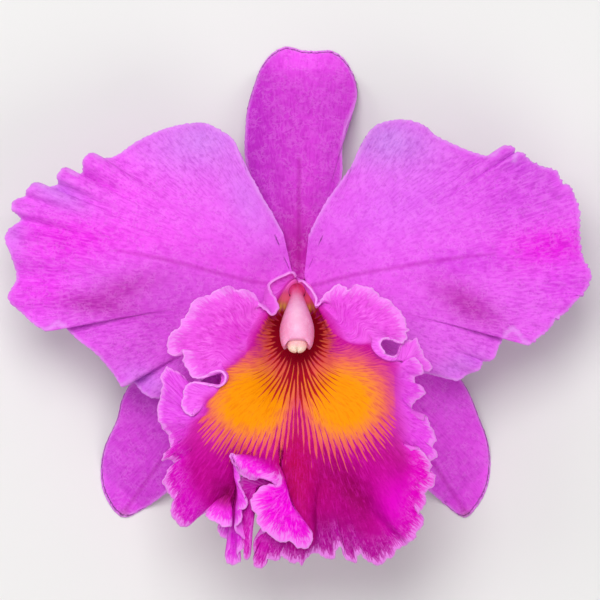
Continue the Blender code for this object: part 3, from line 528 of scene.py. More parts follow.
# %% A blade's material
def blade_material(name, length, under):
    """Petal or sepal: its own tint, a light net, darker flecks, fanned hairs, a midrib, and a pale rim that
    is partly painted light.
    """
    material, tree, shader = new_flesh(name, 0.5, 0.05)
    uv = tree.nodes.new("ShaderNodeUVMap")
    uv.uv_map = "UVMap"
    split = tree.nodes.new("ShaderNodeSeparateXYZ")
    feed(tree, split.inputs[0], uv.outputs[0])
    skin = use_group(tree, SKIN)
    fork = use_group(tree, FORKS, Across=split.outputs[0], Spread=mask(tree, "spread"), Gap=0.7,
                     Along=times(tree, split.outputs[1], length / 3.5))
    hairs, veined = fork.outputs["Hairs"], mask(tree, "veined")
    tint = mask(tree, "tint", "Color")
    rich = deeper(tree, tint, 0.72, 0.34, 0.72)
    colour = blend(tree, times(tree, skin.outputs["Clouds"], 0.2), tint, rich)
    colour = blend(tree, times(tree, skin.outputs["Flecks"], 0.42), colour, rich)
    dark = times(tree, between(tree, hairs, 0.5, 0.1), maths(tree, "MULTIPLY_ADD", veined, 0.22, 0.1))
    colour = blend(tree, dark, colour, deeper(tree, tint, 0.55, 0.2, 0.55))
    light = times(tree, between(tree, hairs, 0.55, 1.0), maths(tree, "MULTIPLY_ADD", veined, 0.13, 0.05))
    light = maths(tree, "MAXIMUM", light, times(tree, skin.outputs["Net"], 0.17))
    colour = blend(tree, light, colour, srgb(250, 160, 250))
    rib = between(tree, mask(tree, "midrib"), 1.1, 0.0)
    colour = blend(tree, times(tree, rib, 0.45), colour, deeper(tree, tint, 0.6, 0.15, 0.5))
    # Pale rim: partly the blade's own pale edge and partly painted light that lifts the shade on the rounded
    # rim
    edge = between(tree, maths(tree, "ADD", mask(tree, "inward"), times(tree, hairs, 0.7)), 1.5, 0.3)
    colour = blend(tree, times(tree, edge, 0.5), colour, srgb(236, 168, 246))
    colour = blend(tree, mask(tree, "upper"), blend(tree, 0.35, colour, under), colour)
    feed(tree, shader.inputs["Base Color"], colour)
    height = times(tree, times(tree, hairs, veined), 0.6)
    height = maths(tree, "ADD", times(tree, skin.outputs["Flecks"], -0.4), height)
    add_bump(tree, shader, height, 0.5, 0.2)
    return material


# %% [markdown]
# ## Sepals
#
# The three sepals stand behind the petals. Each is a long tongue that arches back, and on a bloom
# that lies down its tip rests on the surface. A flat outline bent with a modifier would do, but then
# each tip has to be fitted to the surface by hand. Instead the outlines are drawn from the face of
# the bloom, and one rule gives the height: an arch from the hub to the place where the tip lies
# flat, with the sides rolled back a little.

# %% Sepals: outlines
SEPAL_THICK = 0.8
SEPAL_ROOT = 24.75
SEPAL_ARCH = 2.1
SEPAL_ROLL = 0.011
DORSAL_TOUCH = (0.8, 65.5)
LEFT_TOUCH = (-45.7, -53.2)
RIGHT_TOUCH = (42.7, -52.3)
DORSAL_SEPAL = (
    (6.2, 20.0), (9.8, 28.0), (11.9, 36.0), (12.0, 43.5), (13.4, 50.0), (15.6, 55.4), (16.2, 59.0),
    (15.2, 63.6), (12.4, 68.3), (9.0, 70.4), (5.0, 70.3), (1.0, 70.5), (-3.4, 71.5), (-7.2, 69.7),
    (-10.1, 66.2), (-12.2, 60.8), (-14.0, 54.4), (-14.6, 48.0), (-14.6, 40.5), (-12.6, 32.0), (-8.8, 24.0),
    (-5.6, 17.5),
)
LATERAL_SEPAL_LEFT = (
    (-12.0, -2.0), (-24.0, -7.5), (-36.0, -13.5), (-44.6, -19.6), (-48.4, -25.4), (-50.0, -31.4),
    (-53.4, -38.8), (-54.5, -44.8), (-54.1, -50.2), (-51.8, -55.2), (-49.4, -57.8), (-47.6, -58.3),
    (-43.0, -56.1), (-38.6, -53.2), (-35.0, -50.2), (-29.0, -44.0), (-21.5, -34.5), (-14.0, -23.0),
    (-7.0, -11.0),
)
LATERAL_SEPAL_RIGHT = (
    (7.0, -11.0), (13.5, -23.0), (20.5, -34.5), (28.0, -44.5), (35.0, -50.2), (40.0, -54.4), (44.2, -57.7),
    (46.2, -58.3), (49.0, -55.6), (51.8, -50.6), (52.9, -44.6), (52.2, -37.6), (50.0, -31.5), (45.4, -21.4),
    (38.0, -14.0), (26.0, -7.0), (13.0, -1.5),
)
print("the tips rest at", DORSAL_TOUCH, LEFT_TOUCH, "and", RIGHT_TOUCH)


# %% Blades: height and rows
BLADE_TOOTH_WAVE = 1.9


def sepal_height(x, y, touch):
    """Height of a sepal's blade: it arches back until its tip lies flat on the surface."""
    ahead = np.subtract(touch, HUB)
    reach = np.hypot(*ahead)
    run = np.hypot(x - HUB[0], y - HUB[1])
    aside = ((x - HUB[0]) * ahead[1] - (y - HUB[1]) * ahead[0]) / reach
    share = np.clip(run / reach, 0.0, 1.0)
    arch = SEPAL_ROOT - (SEPAL_ROOT - SEPAL_THICK / 2) * share**SEPAL_ARCH
    roll = SEPAL_ROLL * aside**2 * 4 * share * (1 - share)
    return np.where(run > reach, SEPAL_THICK / 2, arch - roll)


def blade_rows(root, margin, height, columns, places, reach, nibble):
    """Rows of a blade whose columns run from its root to its margin, in plan.

    The waves of the margin fade towards the root, the short ones first. height gives the blade's own
    form, and nibble is how deep the margin's small teeth are at each of its places.
    """
    margin = np.array([tuple(point) + (0.0,) * (3 - len(point)) for point in margin])
    knots = knots_of(margin)
    edge = spline(margin, knots, even_places(margin, knots, columns))
    length = lengths_of(edge)
    ahead = np.gradient(edge[:, :2], axis=0)
    ahead /= np.linalg.norm(ahead, axis=1)[:, None]
    teeth = nibble(edge) * ripple(length, BLADE_TOOTH_WAVE, 5)
    soft = softened(edge, reach)
    long_wave, wave = softened(edge, 2.2 * reach)[:, 2], softened(edge, 0.7 * reach)[:, 2]
    share = np.linspace(0.0, 1.0, columns + 1)[:, None]
    root = np.array(root)
    foot = root[0] + (root[1] - root[0]) * share
    rows = []
    for v in places:
        target = soft + (edge - soft) * ease((v - 0.5) / 0.5)
        row = np.empty((columns + 1, 3))
        row[:, :2] = foot + (target[:, :2] - foot) * v
        row[:, :2] += np.stack([ahead[:, 1], -ahead[:, 0]], 1) * (teeth * ease((v - 0.93) / 0.07))[:, None]
        row[:, 2] = height(row[:, 0], row[:, 1]) + long_wave * ease((v - 0.3) / 0.7)
        row[:, 2] += (wave - long_wave) * ease((v - 0.5) / 0.5) ** 1.3
        row[:, 2] += (edge[:, 2] - wave) * ease((v - 0.76) / 0.24)
        rows.append(row)
    return rows


def blade_places(count):
    """Row places from root to margin, closer together near the margin, and last a rounded rim."""
    share = np.linspace(0.0, 1.0, count)
    return np.concatenate([1 - (1 - share[:-2]) ** 1.25, [0.99, 0.9985, 1.0]])


def rim_thickness(thick):
    return lambda v: thick * np.interp(v, (0.0, 0.985, 0.9985, 1.0), (1.0, 1.0, 0.7, 0.3))


# %% Blades: distances that the paint needs
MARGIN_SPOTS = 400


def inward_of(points, margin):
    """How far each point lies inside the margin, in plan."""
    margin = np.array(margin)[:, :2]
    knots = knots_of(margin)
    line = spline(margin, knots, even_places(margin, knots, MARGIN_SPOTS))
    far = np.full(len(points), np.inf)
    for spot in line:
        far = np.minimum(far, (points[:, 0] - spot[0]) ** 2 + (points[:, 1] - spot[1]) ** 2)
    return np.sqrt(far)


def line_distance(points, stops):
    """Distance in plan from a drawn line."""
    far = np.full(len(points), np.inf)
    for a, b in zip(np.array(stops[:-1]), np.array(stops[1:])):
        along = np.clip(((points[:, :2] - a) @ (b - a)) / ((b - a) @ (b - a)), 0.0, 1.0)
        far = np.minimum(far, np.linalg.norm(points[:, :2] - (a + along[:, None] * (b - a)), axis=1))
    return far


# %% Sepals: make them
SEPAL_COLUMNS = 260
SEPAL_LENGTHWISE = 90
SEPAL_SOFTENED = 3.0
SEPAL_TEETH = 0.05
SEPAL_VEINED = 0.4
SEPAL_UNDER = srgb(206, 84, 210)
PIECES = []


def finish_piece(piece, node, slot, material):
    piece.data.materials.append(material)
    PIECES.append((piece, node, slot))


def make_sepal(name, node, margin, root, touch, ground, patches, rib):
    places = blade_places(SEPAL_LENGTHWISE)
    rows = blade_rows(root, margin, lambda x, y: sepal_height(x, y, touch), SEPAL_COLUMNS, places,
                      SEPAL_SOFTENED, lambda edge: SEPAL_TEETH)
    made, spots, v = closed_sheet(name, rows, rim_thickness(SEPAL_THICK), places)
    add_tint(made, "tint", paint(ground, spots[:, 0], spots[:, 1], patches))
    add_mask(made, "midrib", line_distance(spots, rib))
    add_mask(made, "inward", inward_of(spots, margin))
    add_mask(made, "veined", ease(v / 0.5) * SEPAL_VEINED)
    add_mask(made, "spread", spread_of(rows))
    finish_piece(made, node, node + "_pink", SEPAL_MATERIAL)


SEPAL_MATERIAL = blade_material("sepal flesh", 65.0, SEPAL_UNDER)
make_sepal("upright_sepal", "dorsal_sepal", DORSAL_SEPAL, ((2.4, 7.2), (-2.4, 7.2)), DORSAL_TOUCH,
           srgb(210, 60, 208), (
               # Painted light and shade: the tip bends back towards the lamp and is bright, the left side is
               # darker and the right side lighter
               (srgb(250, 92, 247), 2, 69, 12, 7, 0, 0.95),
               (srgb(188, 40, 194), -13, 50, 7, 24, 0, 0.75),
               (srgb(218, 68, 218), 8, 50, 6, 16, 0, 0.6),
               (srgb(192, 26, 165), 0, 14, 7, 12, 0, 0.9),
               (srgb(222, 66, 216), 3, 36, 3, 12, 0, 0.5),
           ), ((0.0, 8.0), (0.2, 40.0)))
make_sepal("left_sepal", "lateral_sepal_left", LATERAL_SEPAL_LEFT, ((-4.2, 3.4), (-0.4, 0.5)), LEFT_TOUCH,
           srgb(216, 70, 217), (
               (srgb(206, 72, 210), -40, -27, 8, 5, -35, 0.8),
               (srgb(222, 90, 230), -53, -45, 4, 9, 0, 0.6),
               # Painted shade: the duller tip turns away from the lamp
               (srgb(176, 78, 160), -48.4, -57.8, 2.2, 1.6, 0, 0.9),
           ), ((-3.0, 2.0), (-20.0, -18.0), (-47.5, -56.0)))
make_sepal("right_sepal", "lateral_sepal_right", LATERAL_SEPAL_RIGHT, ((0.4, 0.5), (4.2, 3.4)), RIGHT_TOUCH,
           srgb(230, 76, 229), (
               (srgb(238, 92, 241), 43, -28, 7, 6, 0, 0.7),
               (srgb(236, 92, 236), 51, -44, 4, 10, 0, 0.6),
               # Painted shade: the duller tip turns away from the lamp
               (srgb(180, 84, 156), 46.4, -57.8, 2.2, 1.6, 0, 0.9),
           ), ((3.0, 2.0), (20.0, -18.0), (45.5, -56.0)))

# %% [markdown]
# ## Petals
#
# The two petals are the widest pieces. They grow from a narrow root on each side of the hub, and
# their margins wave up and down. Small teeth notch them, deepest at the outer end of the right one.
# A displacement over a flat grid would make waves too, but not where the real ones are, so each
# point of the margin has its own height. Fans of veins run from the root to the margin, and the
# columns of the mesh run the same way.

# %% Petals: outlines
PETAL_THICK = 0.7
PETAL_ROOT = 25.9
PETAL_SLOPE = 0.24
PETAL_LENGTH = 88.0
PETAL_DROOP = 0.0038
MIDRIB_LEFT = 0.19
MIDRIB_RIGHT = 0.17
# A petal's point: x, y and how far its wave stands above the blade
PETAL_LEFT = (
    (-4.2, 20.0, 0.0), (-7.0, 25.0, 0.0), (-10.0, 30.0, 0.2), (-13.8, 37.0, 0.4), (-15.8, 40.8, 0.5),
    (-17.9, 45.6, 0.6), (-21.2, 48.0, 0.2), (-25.5, 50.0, -0.4), (-30.0, 49.9, 0.3), (-34.5, 49.0, 0.9),
    (-38.3, 47.8, 0.2), (-44.3, 44.9, -0.6), (-50.3, 40.9, -1.3), (-53.6, 40.4, -0.6), (-56.6, 41.8, 1.4),
    (-58.7, 40.2, 2.4), (-59.2, 36.4, -1.6), (-61.4, 36.1, -2.0), (-63.9, 37.8, 0.8), (-65.9, 35.8, 2.2),
    (-65.8, 33.3, -1.0), (-69.4, 32.6, -1.5), (-72.0, 33.7, 0.8), (-74.2, 31.8, 1.9), (-74.8, 30.0, -0.4),
    (-77.6, 28.9, 0.2), (-78.5, 26.9, 1.5), (-75.9, 23.7, -2.2), (-79.2, 20.9, -0.4), (-80.2, 18.3, 1.6),
    (-78.6, 14.0, 1.2), (-77.1, 7.6, -1.5), (-79.4, 2.1, 1.4), (-75.6, -1.9, 0.2), (-72.4, -4.9, 1.4),
    (-69.0, -6.7, 2.6), (-65.6, -4.8, -3.2), (-60.0, -9.5, 0.4), (-55.6, -12.8, 0.9), (-52.0, -16.8, 0.4),
    (-50.0, -19.4, 0.8), (-48.4, -21.9, 2.4), (-45.5, -20.6, -3.0), (-42.4, -23.9, 0.8), (-39.6, -25.2, 1.6),
    (-35.0, -24.4, 0.0), (-28.0, -21.5, 0.0), (-20.0, -14.0, 0.0), (-12.0, -4.5, 0.0),
)
PETAL_RIGHT = (
    (14.0, -5.5, 0.0), (24.0, -13.5, 0.0), (31.0, -17.8, 0.0), (36.0, -18.6, -0.4), (40.4, -19.7, 0.6),
    (43.8, -20.3, 1.0), (46.2, -18.7, 0.2), (49.6, -17.3, 1.2), (50.5, -15.2, -0.8), (53.2, -14.6, 0.8),
    (55.0, -10.6, -0.2), (58.5, -6.2, -3.4), (61.3, -9.5, 1.4), (63.2, -10.5, 2.8), (65.4, -8.8, 1.0),
    (68.2, -6.7, 0.2), (70.0, -4.2, 0.8), (72.9, -1.9, 0.0), (75.4, 0.9, 0.9), (78.4, 4.0, 0.2),
    (80.0, 8.6, 1.2), (77.8, 13.2, -0.8), (76.9, 19.5, 0.4), (76.8, 26.2, 0.9), (75.5, 30.0, -0.4),
    (74.2, 32.8, 0.9), (72.4, 33.4, -0.6), (70.4, 37.0, 0.8), (66.4, 38.2, 1.2), (63.6, 39.6, -0.8),
    (61.0, 42.0, 1.6), (59.6, 41.8, 0.6), (58.8, 39.6, -2.6), (58.8, 43.4, 2.2), (56.2, 43.7, 1.4),
    (52.9, 41.1, -1.2), (47.6, 42.1, -0.6), (41.8, 44.5, 0.6), (37.4, 46.7, -0.2), (34.6, 49.2, 0.8),
    (30.2, 50.8, 0.2), (25.6, 50.8, -0.6), (20.9, 49.2, 0.4), (17.9, 45.4, 0.8), (15.6, 40.0, 0.4),
    (12.0, 34.7, 0.2), (8.4, 29.8, 0.2), (5.0, 24.0, 0.0), (2.8, 19.5, 0.0),
)
print("the petals reach from", min(PETAL_LEFT)[0], "to", max(PETAL_RIGHT)[0], "mm")


# %% Petals: height and teeth
PETAL_TEETH = 0.10
OUTER_TEETH = 0.12
OUTER_START = 55


def petal_height(x, y, side):
    """Height of a petal's blade: up a little from the hub, and drooping away from its midrib."""
    run = np.hypot(x - HUB[0], y - HUB[1])
    off = y - HUB[1] - run * (MIDRIB_LEFT if side < 0 else MIDRIB_RIGHT)
    rise = PETAL_SLOPE * run * (1 - run / PETAL_LENGTH)
    droop = PETAL_DROOP * off**2 * ease(run / 40.0)
    return PETAL_ROOT + ease((run - 3.5) / 12.0) * (rise - droop)


def petal_teeth(edge, side):
    """How deep the teeth of the margin are: deeper at the outer end of the right petal."""
    outer = OUTER_TEETH * ease((abs(edge[:, 0]) - OUTER_START) / 10)
    return PETAL_TEETH + outer * (side > 0)


# %% Petals: make them
PETAL_COLUMNS = 560
PETAL_LENGTHWISE = 76
PETAL_SOFTENED = 4.0
# How far out the midrib starts to fade
RIB_FADE = 42
PETAL_UNDER = srgb(214, 104, 222)
PETAL_MATERIAL = blade_material("petal flesh", 80.0, PETAL_UNDER)


def make_petal(name, node, side, margin, root, patches, rib):
    places = blade_places(PETAL_LENGTHWISE)
    rows = blade_rows(root, margin, lambda x, y: petal_height(x, y, side), PETAL_COLUMNS, places,
                      PETAL_SOFTENED, lambda edge: petal_teeth(edge, side))
    made, spots, v = closed_sheet(name, rows, rim_thickness(PETAL_THICK), places)
    add_tint(made, "tint", paint(PINK, spots[:, 0], spots[:, 1], patches))
    fading = 0.5 * ease((np.abs(spots[:, 0]) - RIB_FADE) / 14)
    add_mask(made, "midrib", line_distance(spots, rib) + fading)
    add_mask(made, "inward", inward_of(spots, margin))
    add_mask(made, "veined", ease((v - 0.25) / 0.6))
    add_mask(made, "spread", spread_of(rows))
    finish_piece(made, node, node + "_pink", PETAL_MATERIAL)


make_petal("left_petal", "petal_left", -1, PETAL_LEFT, ((-1.6, 8.6), (-2.7, 1.7)), (
    (LILAC, -26, 46, 16, 9, 10, 0.95),
    (LILAC, -14, 30, 6, 12, 25, 0.6),
    (ROSE, -48, 33, 16, 7, -20, 0.7),
    (ROSE, -42, 19, 22, 7, -12, 0.8),
    (HOT_MAGENTA, -62, 18, 14, 7, 0, 0.8),
    # Painted shade: the darker lower half below the midrib and two darker bands along its fold
    (DUSKY_SHADE, -38, -4, 22, 8, 20, 0.85),
    (DEEP_SHADE, -49, 4, 12, 4.5, 20, 0.75),
    (DEEP_SHADE, -57, 0.6, 14, 2.8, -10, 0.7),
    (MAGENTA, -70, 5, 9, 7, 40, 0.75),
    (LILAC, -67, 32, 10, 3.5, -30, 0.75),
    (LILAC, -78, 20, 3, 7, 0, 0.5),
    (LILAC, -41, -21, 8, 4, -25, 0.7),
    (ROSE, -20, 11, 9, 3, -15, 0.5),
), ((-2.0, 5.4), (-13.0, 6.7), (-22.0, 9.0), (-30.0, 11.2), (-40.0, 13.5), (-50.0, 15.2)))
make_petal("right_petal", "petal_right", 1, PETAL_RIGHT, ((2.7, 1.7), (1.6, 8.6)), (
    (srgb(200, 128, 226), 24, 45, 15, 9, -10, 0.95),
    (srgb(216, 100, 233), 28, 28, 18, 10, 20, 0.6),
    (srgb(214, 72, 222), 58, 30, 14, 10, -20, 0.8),
    (HOT_MAGENTA, 68, 16, 13, 6, 5, 0.95),
    (srgb(212, 60, 220), 45, 12, 12, 4, 6, 0.7),
    (DEEP_SHADE, 46, 0.5, 11, 4.5, -32, 0.85),
    (srgb(226, 104, 233), 34, -9, 14, 6, -15, 0.75),
    (srgb(214, 124, 232), 43, -17, 9, 4, 20, 0.75),
    (srgb(228, 62, 232), 72, 6, 7, 6, 0, 0.7),
    (srgb(208, 84, 220), 62, 38, 8, 4, -25, 0.6),
), ((2.0, 5.0), (8.0, 6.7), (15.0, 8.5), (25.0, 10.3), (35.0, 11.9), (45.0, 13.3), (54.0, 14.4)))

# %% [markdown]
# ## Lip: the margin
#
# The lip is the showpiece, and the hardest form: one sheet that starts round the column's foot,
# rises as a tube, opens into a mouth and spreads into an apron whose edge is ruffled, pleated and
# in one place folded over. It would be hopeless to model by pushing vertices. Its margin is a
# single long line though, so that line is drawn first, run by run, counter-clockwise from the slit
# behind the column. Each run says which part of the mouth it grows from, in degrees, and the path
# along which the sheet bends on its way there, or None where it goes straight. Then come its
# points: x, y, z and, where a point has a bend of its own, that bend's x, y and z.

# %% Lip: margin points
LIP_MARGIN = (
    ("left flap", 93, 150, None, (
        (-0.7, 8.0, 37.4, -0.9, 7.9, 35.8), (-1.6, 9.3, 39.0, -2.0, 8.7, 37.0),
        (-4.0, 8.4, 40.2, -4.6, 7.9, 38.0), (-6.5, 7.2, 41.4, -6.7, 6.8, 39.0),
        (-8.0, 5.9, 42.5, -8.6, 5.0, 40.0), (-7.8, 4.6, 43.5, -9.1, 3.8, 40.5),
        (-6.6, 2.6, 44.5, -9.5, 2.0, 41.5), (-5.4, 0.6, 45.5, -9.5, 0.4, 42.5),
        (-5.5, -1.0, 46.5, -8.8, -0.8, 44.0), (-7.0, -2.4, 47.0, -7.6, -1.8, 45.5),
    )),
    ("left ear", 152, 200, None, (
        (-8.6, -1.2, 47.5), (-10.2, 0.0, 47.0), (-11.2, 1.2, 46.0), (-12.0, 3.0, 45.5), (-13.8, 4.3, 46.0),
        (-16.0, 4.5, 47.5), (-17.2, 4.3, 46.0), (-18.8, 5.6, 44.5), (-20.5, 5.0, 46.0), (-22.2, 4.4, 47.5),
        (-24.8, 2.8, 46.0), (-27.5, 2.1, 47.0), (-29.3, 0.4, 48.5), (-30.0, -1.8, 47.0), (-31.8, -3.9, 46.0),
        (-32.4, -5.9, 47.5), (-34.3, -6.9, 47.0), (-35.5, -9.3, 45.5), (-35.6, -12.0, 45.0),
        (-34.4, -13.5, 46.0), (-32.6, -13.0, 47.5), (-31.6, -11.8, 49.0), (-31.2, -13.4, 48.5),
        (-31.4, -15.2, 47.5), (-30.2, -17.0, 48.0), (-29.3, -18.8, 48.5), (-27.9, -19.7, 49.5),
    )),
    ("left pleat", 200, 208, None, (
        (-25.5, -19.2, 51.0, -20.6, -17.4, 50.4), (-23.5, -18.0, 51.6, -19.8, -17.5, 50.3),
        (-21.2, -17.7, 52.2, -19.0, -17.6, 50.2), (-19.9, -19.0, 52.4, -18.6, -18.4, 50.1),
        (-20.4, -20.9, 52.2, -18.9, -19.6, 50.0), (-22.0, -21.8, 51.6, -19.6, -20.6, 50.0),
        (-24.5, -21.2, 50.8, -20.6, -21.4, 50.0), (-27.0, -20.7, 49.8, -21.6, -22.2, 50.0),
    )),
    ("left inner frill", 208, 216, ((-22.4, -22.8, 49.9), (-24.2, -26.4, 49.6)), (
        (-28.8, -20.6, 49.0), (-30.4, -21.4, 48.2), (-31.3, -23.5, 47.6), (-31.5, -25.5, 47.6),
        (-31.9, -27.0, 48.0), (-30.6, -29.0, 48.8), (-29.0, -29.9, 49.6), (-28.5, -28.6, 49.6),
    )),
    ("left outer frill", 216, 226, ((-24.4, -26.8, 49.4), (-26.4, -30.8, 49.2)), (
        (-29.4, -26.6, 47.4), (-29.8, -23.6, 46.0), (-30.3, -21.0, 45.4), (-31.2, -19.2, 45.2),
        (-32.8, -17.8, 44.8), (-34.6, -17.1, 44.6), (-35.8, -16.3, 44.0), (-36.6, -17.8, 43.6),
        (-37.7, -19.2, 44.5), (-36.9, -20.6, 45.5), (-37.2, -22.5, 45.0), (-37.6, -25.0, 44.0),
        (-38.3, -27.5, 43.6), (-38.3, -29.5, 44.5), (-37.8, -31.6, 45.0), (-36.6, -33.6, 44.2),
        (-35.4, -35.0, 43.8),
    )),
    ("left lobe", 226, 240, ((-26.6, -31.4, 49.2), (-24.0, -44.0, 50.2)), (
        (-35.0, -37.0, 44.5), (-34.8, -38.8, 45.0), (-36.4, -40.0, 44.0), (-37.2, -42.0, 43.0),
        (-35.4, -41.6, 43.6), (-33.6, -42.6, 43.4), (-32.2, -45.2, 43.8), (-33.6, -45.0, 45.4),
        (-35.0, -44.1, 46.0), (-36.2, -46.2, 45.5), (-37.0, -48.0, 44.5), (-35.8, -49.8, 44.0),
        (-34.9, -51.7, 44.5), (-33.9, -52.6, 45.0), (-34.7, -54.8, 44.5), (-34.6, -56.7, 43.5),
        (-33.0, -59.0, 43.0, -23.6, -45.0, 50.0), (-31.1, -60.2, 42.5, -22.4, -47.0, 49.6),
        (-29.6, -59.4, 42.2, -21.4, -48.4, 48.4), (-27.8, -57.6, 42.0, -20.2, -49.4, 46.4),
    )),
    ("left front frill", 240, 243, (
        (-20.0, -48.4, 45.8), (-18.4, -49.2, 45.4), (-17.4, -49.2, 45.6),
    ), (
        (-26.4, -56.8, 42.4), (-25.0, -56.0, 45.0), (-25.1, -57.4, 46.4), (-23.0, -58.4, 46.8),
        (-21.7, -59.2, 47.2), (-20.0, -60.0, 48.0), (-18.4, -59.8, 47.4),
    )),
    ("left lower lobe", 243, 245, (
        (-17.2, -48.8, 45.0), (-16.8, -49.0, 44.4), (-16.4, -48.8, 44.6), (-15.8, -48.2, 45.6),
    ), (
        (-20.6, -59.4, 44.6), (-22.0, -60.8, 42.4), (-21.4, -62.2, 41.6), (-19.6, -63.6, 41.0),
        (-18.1, -64.6, 41.0), (-18.6, -66.4, 41.0), (-19.9, -68.4, 40.5), (-19.4, -70.0, 40.2),
        (-17.6, -70.4, 40.4), (-15.9, -69.6, 41.4), (-16.6, -67.4, 43.2), (-15.4, -66.2, 44.0),
        (-14.0, -65.0, 44.6), (-14.6, -63.4, 45.2), (-16.4, -61.9, 45.8), (-17.2, -60.4, 46.6),
    )),
    ("left side of the fold", 245, 248, None, (
        (-16.6, -59.4, 47.5, -15.8, -47.8, 46.4), (-15.4, -58.2, 48.0, -15.8, -47.4, 46.9),
        (-15.8, -56.4, 47.6, -15.2, -47.6, 47.2), (-16.1, -55.3, 47.6, -15.8, -47.0, 47.6),
        (-14.9, -55.2, 48.2, -16.2, -46.4, 48.0), (-13.8, -54.2, 48.6, -16.4, -45.8, 48.3),
        (-14.0, -52.8, 48.9, -16.6, -45.2, 48.6), (-15.2, -50.6, 49.2, -16.8, -44.4, 49.0),
        (-16.2, -48.0, 49.6, -16.8, -43.2, 49.6), (-15.7, -46.2, 50.2, -16.8, -42.0, 50.2),
        (-16.4, -44.6, 50.8, -17.0, -40.8, 50.7), (-17.8, -42.6, 51.6, -17.2, -39.8, 51.2),
        (-18.5, -41.0, 52.2, -17.2, -39.0, 51.7), (-17.9, -40.2, 52.8, -16.8, -38.6, 52.2),
    )),
    ("folded flap", 248, 257, None, (
        (-17.5, -41.6, 52.6, -16.2, -39.4, 53.2), (-16.4, -43.9, 52.2, -15.2, -40.9, 53.6),
        (-15.2, -45.9, 52.0, -13.8, -42.0, 53.8), (-13.4, -46.9, 51.8, -12.3, -43.0, 53.9),
        (-11.8, -47.1, 51.8, -10.9, -44.1, 53.8), (-10.4, -46.1, 52.2, -9.5, -44.9, 53.7),
        (-8.6, -46.4, 52.6, -7.9, -45.5, 53.6), (-6.6, -47.4, 52.8, -6.2, -46.2, 53.8),
        (-6.4, -48.5, 52.4, -5.6, -46.8, 53.7), (-8.2, -48.6, 51.8, -5.2, -47.2, 53.5),
        (-10.4, -49.2, 51.4, -4.9, -47.6, 53.3), (-12.0, -51.0, 51.0, -4.6, -48.0, 53.1),
        (-13.0, -52.6, 50.6, -4.4, -48.4, 52.9), (-12.7, -54.8, 50.8, -4.1, -48.8, 52.7),
        (-11.3, -56.8, 51.0, -3.9, -49.2, 52.5), (-11.4, -58.4, 50.4, -3.7, -49.6, 52.4),
        (-10.0, -60.6, 50.0, -3.5, -50.0, 52.2), (-8.2, -61.8, 50.2, -3.2, -50.4, 52.0),
        (-6.2, -63.4, 49.6, -2.9, -50.8, 51.9), (-4.4, -64.2, 49.4, -2.6, -51.2, 51.8),
        (-2.4, -63.7, 49.8, -2.3, -51.6, 51.7), (-0.8, -65.2, 49.0, -2.0, -51.9, 51.5),
        (1.9, -65.9, 48.8, -1.7, -52.2, 51.4), (3.5, -64.4, 49.2, -1.5, -52.4, 51.2),
        (3.9, -62.4, 49.6, -1.4, -52.4, 50.9),
    )),
    ("under the flap", 257, 265, (
        (-1.6, -52.2, 50.3), (-6.0, -48.0, 49.8), (-10.2, -45.8, 49.2), (-10.8, -46.6, 48.4),
        (-10.0, -47.6, 48.0), (-6.6, -50.2, 47.9), (-5.2, -51.4, 48.0), (-3.8, -52.2, 48.3),
    ), (
        (2.4, -60.2, 48.2), (-2.2, -56.6, 48.2), (-5.2, -51.0, 49.0), (-8.2, -46.8, 49.6),
        (-11.8, -44.9, 49.8), (-15.2, -45.8, 48.8), (-16.4, -48.6, 47.4), (-16.0, -52.4, 46.2),
        (-15.9, -57.0, 45.0), (-15.4, -62.0, 44.8), (-15.0, -66.0, 44.4), (-14.6, -68.8, 44.0),
        (-13.6, -69.0, 44.2), (-13.4, -66.8, 44.8), (-13.3, -64.0, 45.4), (-13.3, -60.0, 46.0),
        (-12.9, -56.6, 46.4), (-11.6, -53.8, 46.8), (-9.2, -53.4, 46.8), (-7.8, -56.0, 46.4),
        (-7.9, -59.4, 46.6), (-9.4, -61.6, 45.8),
        (-11.4, -62.9, 44.6), (-12.4, -65.2, 43.4), (-12.0, -67.6, 43.0), (-12.4, -69.6, 42.8),
        (-11.0, -71.4, 43.0), (-9.3, -70.8, 43.6),
    )),
    ("lower frills", 265, 294, None, (
        (-8.6, -68.8, 44.7, -3.4, -52.6, 48.6), (-7.0, -69.1, 44.2, -2.8, -53.2, 48.8),
        (-5.6, -69.2, 44.2, -2.0, -53.9, 49.0), (-4.5, -67.8, 45.2, -1.3, -54.6, 49.2),
        (-3.0, -69.2, 44.7, -0.4, -55.4, 49.4), (-1.3, -69.9, 44.2, 0.4, -56.0, 49.6),
        (0.0, -69.6, 44.7, 1.2, -56.6, 49.8), (0.7, -70.6, 44.2, 1.9, -57.0, 49.9),
        (1.9, -68.9, 44.7, 2.6, -57.2, 50.0), (4.2, -67.0, 44.4, 3.8, -57.2, 49.8),
        (6.0, -67.8, 43.5), (8.9, -69.0, 42.5), (9.8, -68.4, 43.0), (10.2, -66.4, 44.2), (11.4, -65.4, 44.6),
        (12.3, -66.8, 44.0), (12.7, -68.6, 43.0), (14.4, -69.6, 42.5), (15.7, -69.7, 43.0),
        (16.0, -68.0, 44.2), (16.8, -67.2, 44.6), (18.0, -68.8, 43.4, 13.0, -51.6, 47.8),
        (20.2, -70.0, 42.8, 14.2, -52.2, 47.4), (21.4, -70.6, 43.0, 15.2, -52.6, 47.0),
        (23.3, -69.7, 43.6, 16.2, -52.8, 46.6), (24.2, -68.7, 44.4, 17.2, -52.8, 46.4),
        (26.1, -67.9, 43.8, 18.2, -53.0, 46.2), (26.4, -66.4, 43.8, 19.0, -53.2, 46.2),
        (27.6, -65.8, 43.4, 19.8, -53.6, 46.4), (29.2, -65.0, 43.8, 20.6, -53.8, 47.2),
    )),
    ("right lobe", 294, 326, ((24.6, -50.0, 51.0), (25.4, -34.8, 50.2)), (
